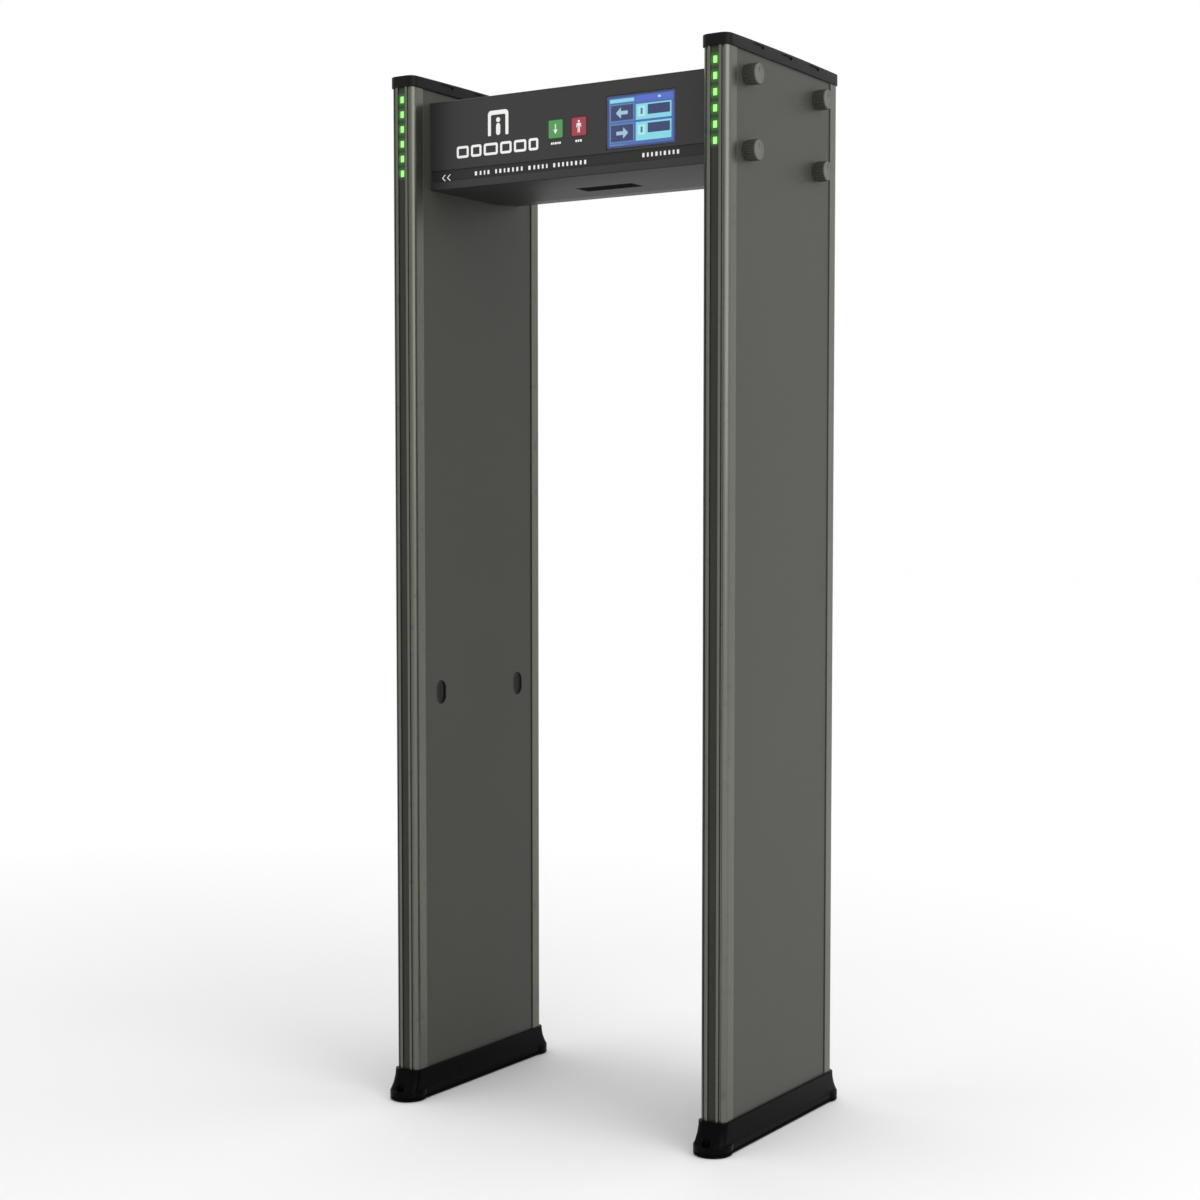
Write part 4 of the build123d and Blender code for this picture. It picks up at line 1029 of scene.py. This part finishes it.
# %% Printed marks
ink_thick, band_front = 0.12, -175.5


def dashes(widths, height, gap, start_x, middle_z):
    """A row of rounded blocks of the given widths, left to right from start_x."""
    starts = start_x + np.cumsum(widths) - widths + gap * np.arange(len(widths))
    low, high = middle_z - height / 2, middle_z + height / 2
    return [
        filleted([(x, low), (x + w, low), (x + w, high), (x, high)], min(w, height) * 0.22)
        for x, w in zip(starts, widths)
    ]


emblem_x, emblem_z = -175.0, 2090.0
gate_sign = filleted(
    [(-26, -26), (-26, 26), (26, 26), (26, -26), (18.5, -26), (18.5, 17), (-18.5, 17),
     (-18.5, -26)],
    (1.5, 8, 8, 1.5, 1.5, 3, 3, 1.5),
) + (emblem_x, emblem_z)
person = [
    arc((emblem_x, emblem_z + 6), 5.2, 0, 345, 20),
    bar_shape((emblem_x, emblem_z - 6), (emblem_x, emblem_z - 20.5), 10.5),
]
captions = [
    *dashes((4, 3, 5, 3, 4), 4.5, 1.3, -42.5, 2034), *dashes((4.5, 3.5, 5), 4.5, 1.3, 17.5, 2034),
]
plate_marks = [gate_sign, *person, *captions]

# The name is a row of hollow blocks.
name_left, name_z, name_gap, name_wall = -282.0, 2037, 6.0, 5.2
name_widths = np.array((31, 27, 36, 29, 31, 24), float)
name_middles = name_left + np.cumsum(name_widths + name_gap) - name_gap - name_widths / 2
name_profile = [
    (0, plate_front), (0, plate_front - ink_thick), (name_wall, plate_front - ink_thick),
    (name_wall, plate_front),
]
name_row = [
    skin(stack(name_profile, width / 2, 12.5, 5, on_front(x, name_z), 5), looped=True)
    for x, width in zip(name_middles, name_widths)
]

# The small words on the band: a letter's width each, and a gap where the number is negative.
letters = np.array((
    8, 6, 5, 7, -4, 6, 7, 5, 7, 6, 7, 6, -4, 8, 6, 6, 6, 5, -4, 7, 6, 6, 6, 6, 7, 6, 7,
))
letter_gap, letter_share, words_long, words_left = 3.4, 0.62, 282, -237
starts = np.cumsum(np.abs(letters) + letter_gap) - np.abs(letters) - letter_gap
stretch = words_long / (starts[-1] + letters[-1])
band_marks = [
    dashes((width * stretch * letter_share,), 8.5, 0, words_left + start * stretch, 1990)[0]
    for width, start in zip(letters, starts) if width > 0
]
band_marks += dashes((5, 4, 4, 5, 3, 5, 4, 4, 5), 8.5, 5.8, 176, 1991.5)
chevron = np.array([(0, 0), (7, 6.5), (10, 6.5), (3, 0), (10, -6.5), (7, -6.5)])
band_marks += [chevron + (x, 1987) for x in (-323, -310)]
on_plate, on_band = (
    [skin(prism(mark, level, level - ink_thick, on_front(0, 0))) for mark in marks]
    for marks, level in ((plate_marks, plate_front), (band_marks, band_front))
)
printed = [(mark, "ink_white") for mark in (*on_plate, *name_row, *on_band)]
piece_of("printed_marks", printed, ROOT)
print("marks", len(printed))

# %% [markdown]
# ## Sensor windows
# Two pairs of dark windows face the passage at hip height. Behind each one an infrared beam counts
# the people who walk through. The window is an obround dish with a raised rim, held by a flange
# behind the panel.

# %% Sensor windows
dish = [
    (-4, 357.3), (-4, 355.8), (0.1, 355.8), (0.1, 353.1), (0.35, 352.6), (0.9, 352.4), (2.2, 352.4),
    (2.8, 352.7), (3.2, 354.2), (3.8, 354.6), (10, 354.7), (18, 354.7),
]
dish_shape, sensor_y, sensor_z = (18, 26, 18), 147, 883
sensors = [
    (skin(stack(dish, *dish_shape, on_side(y, sensor_z, side), 10)), "acrylic_infrared")
    for side in (-1, 1) for y in (-sensor_y, sensor_y)
]
piece_of("sensor_dishes", sensors, ROOT, ["sensor_windows"])
print("sensor windows", len(sensors))

# %% [markdown]
# ## Parts at the back
# The rear frame, the service door with its hinges and locks, the inlet and the grille have the
# right shape already. Their CAD triangles are merged back into whole faces, so that the sharp edges
# can be broken by a fraction of a millimetre and catch the light.

# %% Broken edges
for node_name, edge_mm, finish_name, slot_name in (
    ("bar_rear_frame", 0.4, "powder_coat_charcoal", "bar_paint"),
    ("bar_end_plates", 0.4, "powder_coat_charcoal", "bar_paint"),
    # The lower trim takes the darker copy of the coat, painted shade.
    ("bar_lower_trim", 0.4, "powder_coat_trim_painted_shade", "trim_paint"),
    ("service_door", 0.4, "powder_coat_charcoal", "bar_paint"),
    ("door_hinges", 0.25, "steel_zinc_plated", "plated_steel"),
    ("lock_housings", 0.3, "steel_zinc_plated", "plated_steel"),
    ("left_lock", 0.15, "steel_zinc_plated", "plated_steel"),
    ("right_lock", 0.15, "steel_zinc_plated", "plated_steel"),
    ("power_inlet", 0.3, "pbt_moulded_black", "black_moulding"),
    ("power_rocker", 0.3, "pbt_moulded_black", "black_moulding"),
    ("sounder_grille", 0.2, "grille_enamel", "grille_metal"),
):
    softened(node_name, edge_mm, finish_name)

# %% [markdown]
# ## The floor
# The floor is a large pale sheet. It isn't part of the gate.

# %% Floor
floor_half = 40.0
floor_mesh = bpy.data.meshes.new("studio_floor")
corners = np.array([(-1, -1, 0), (1, -1, 0), (1, 1, 0), (-1, 1, 0)]) * floor_half
floor_mesh.from_pydata(corners.tolist(), [], [(0, 1, 2, 3)])
floor = put_in_scene("studio_floor", floor_mesh)
coat = finish(
    "studio_floor_paint", ("#EFEFEF", "#F1F1F1"), (0.7, 0.8), 900.0, 30.0, 0.01, specular=0.2,
)
# The paint is whiter away from the gate, so that the floor meets the white room without a line;
# the greyer paint near the gate is painted shade.
pale_from, white_from = 1.5, 4.5
distance = add_node(coat.tree, "ShaderNodeVectorMath", {0: coat.place}, operation="LENGTH")
away = {"Value": distance.outputs["Value"], "From Min": pale_from, "From Max": white_from}
tint(coat, add_node(coat.tree, "ShaderNodeMapRange", away).outputs["Result"], "#FFFFFF")
floor_mesh.materials.append(materials["studio_floor_paint"])
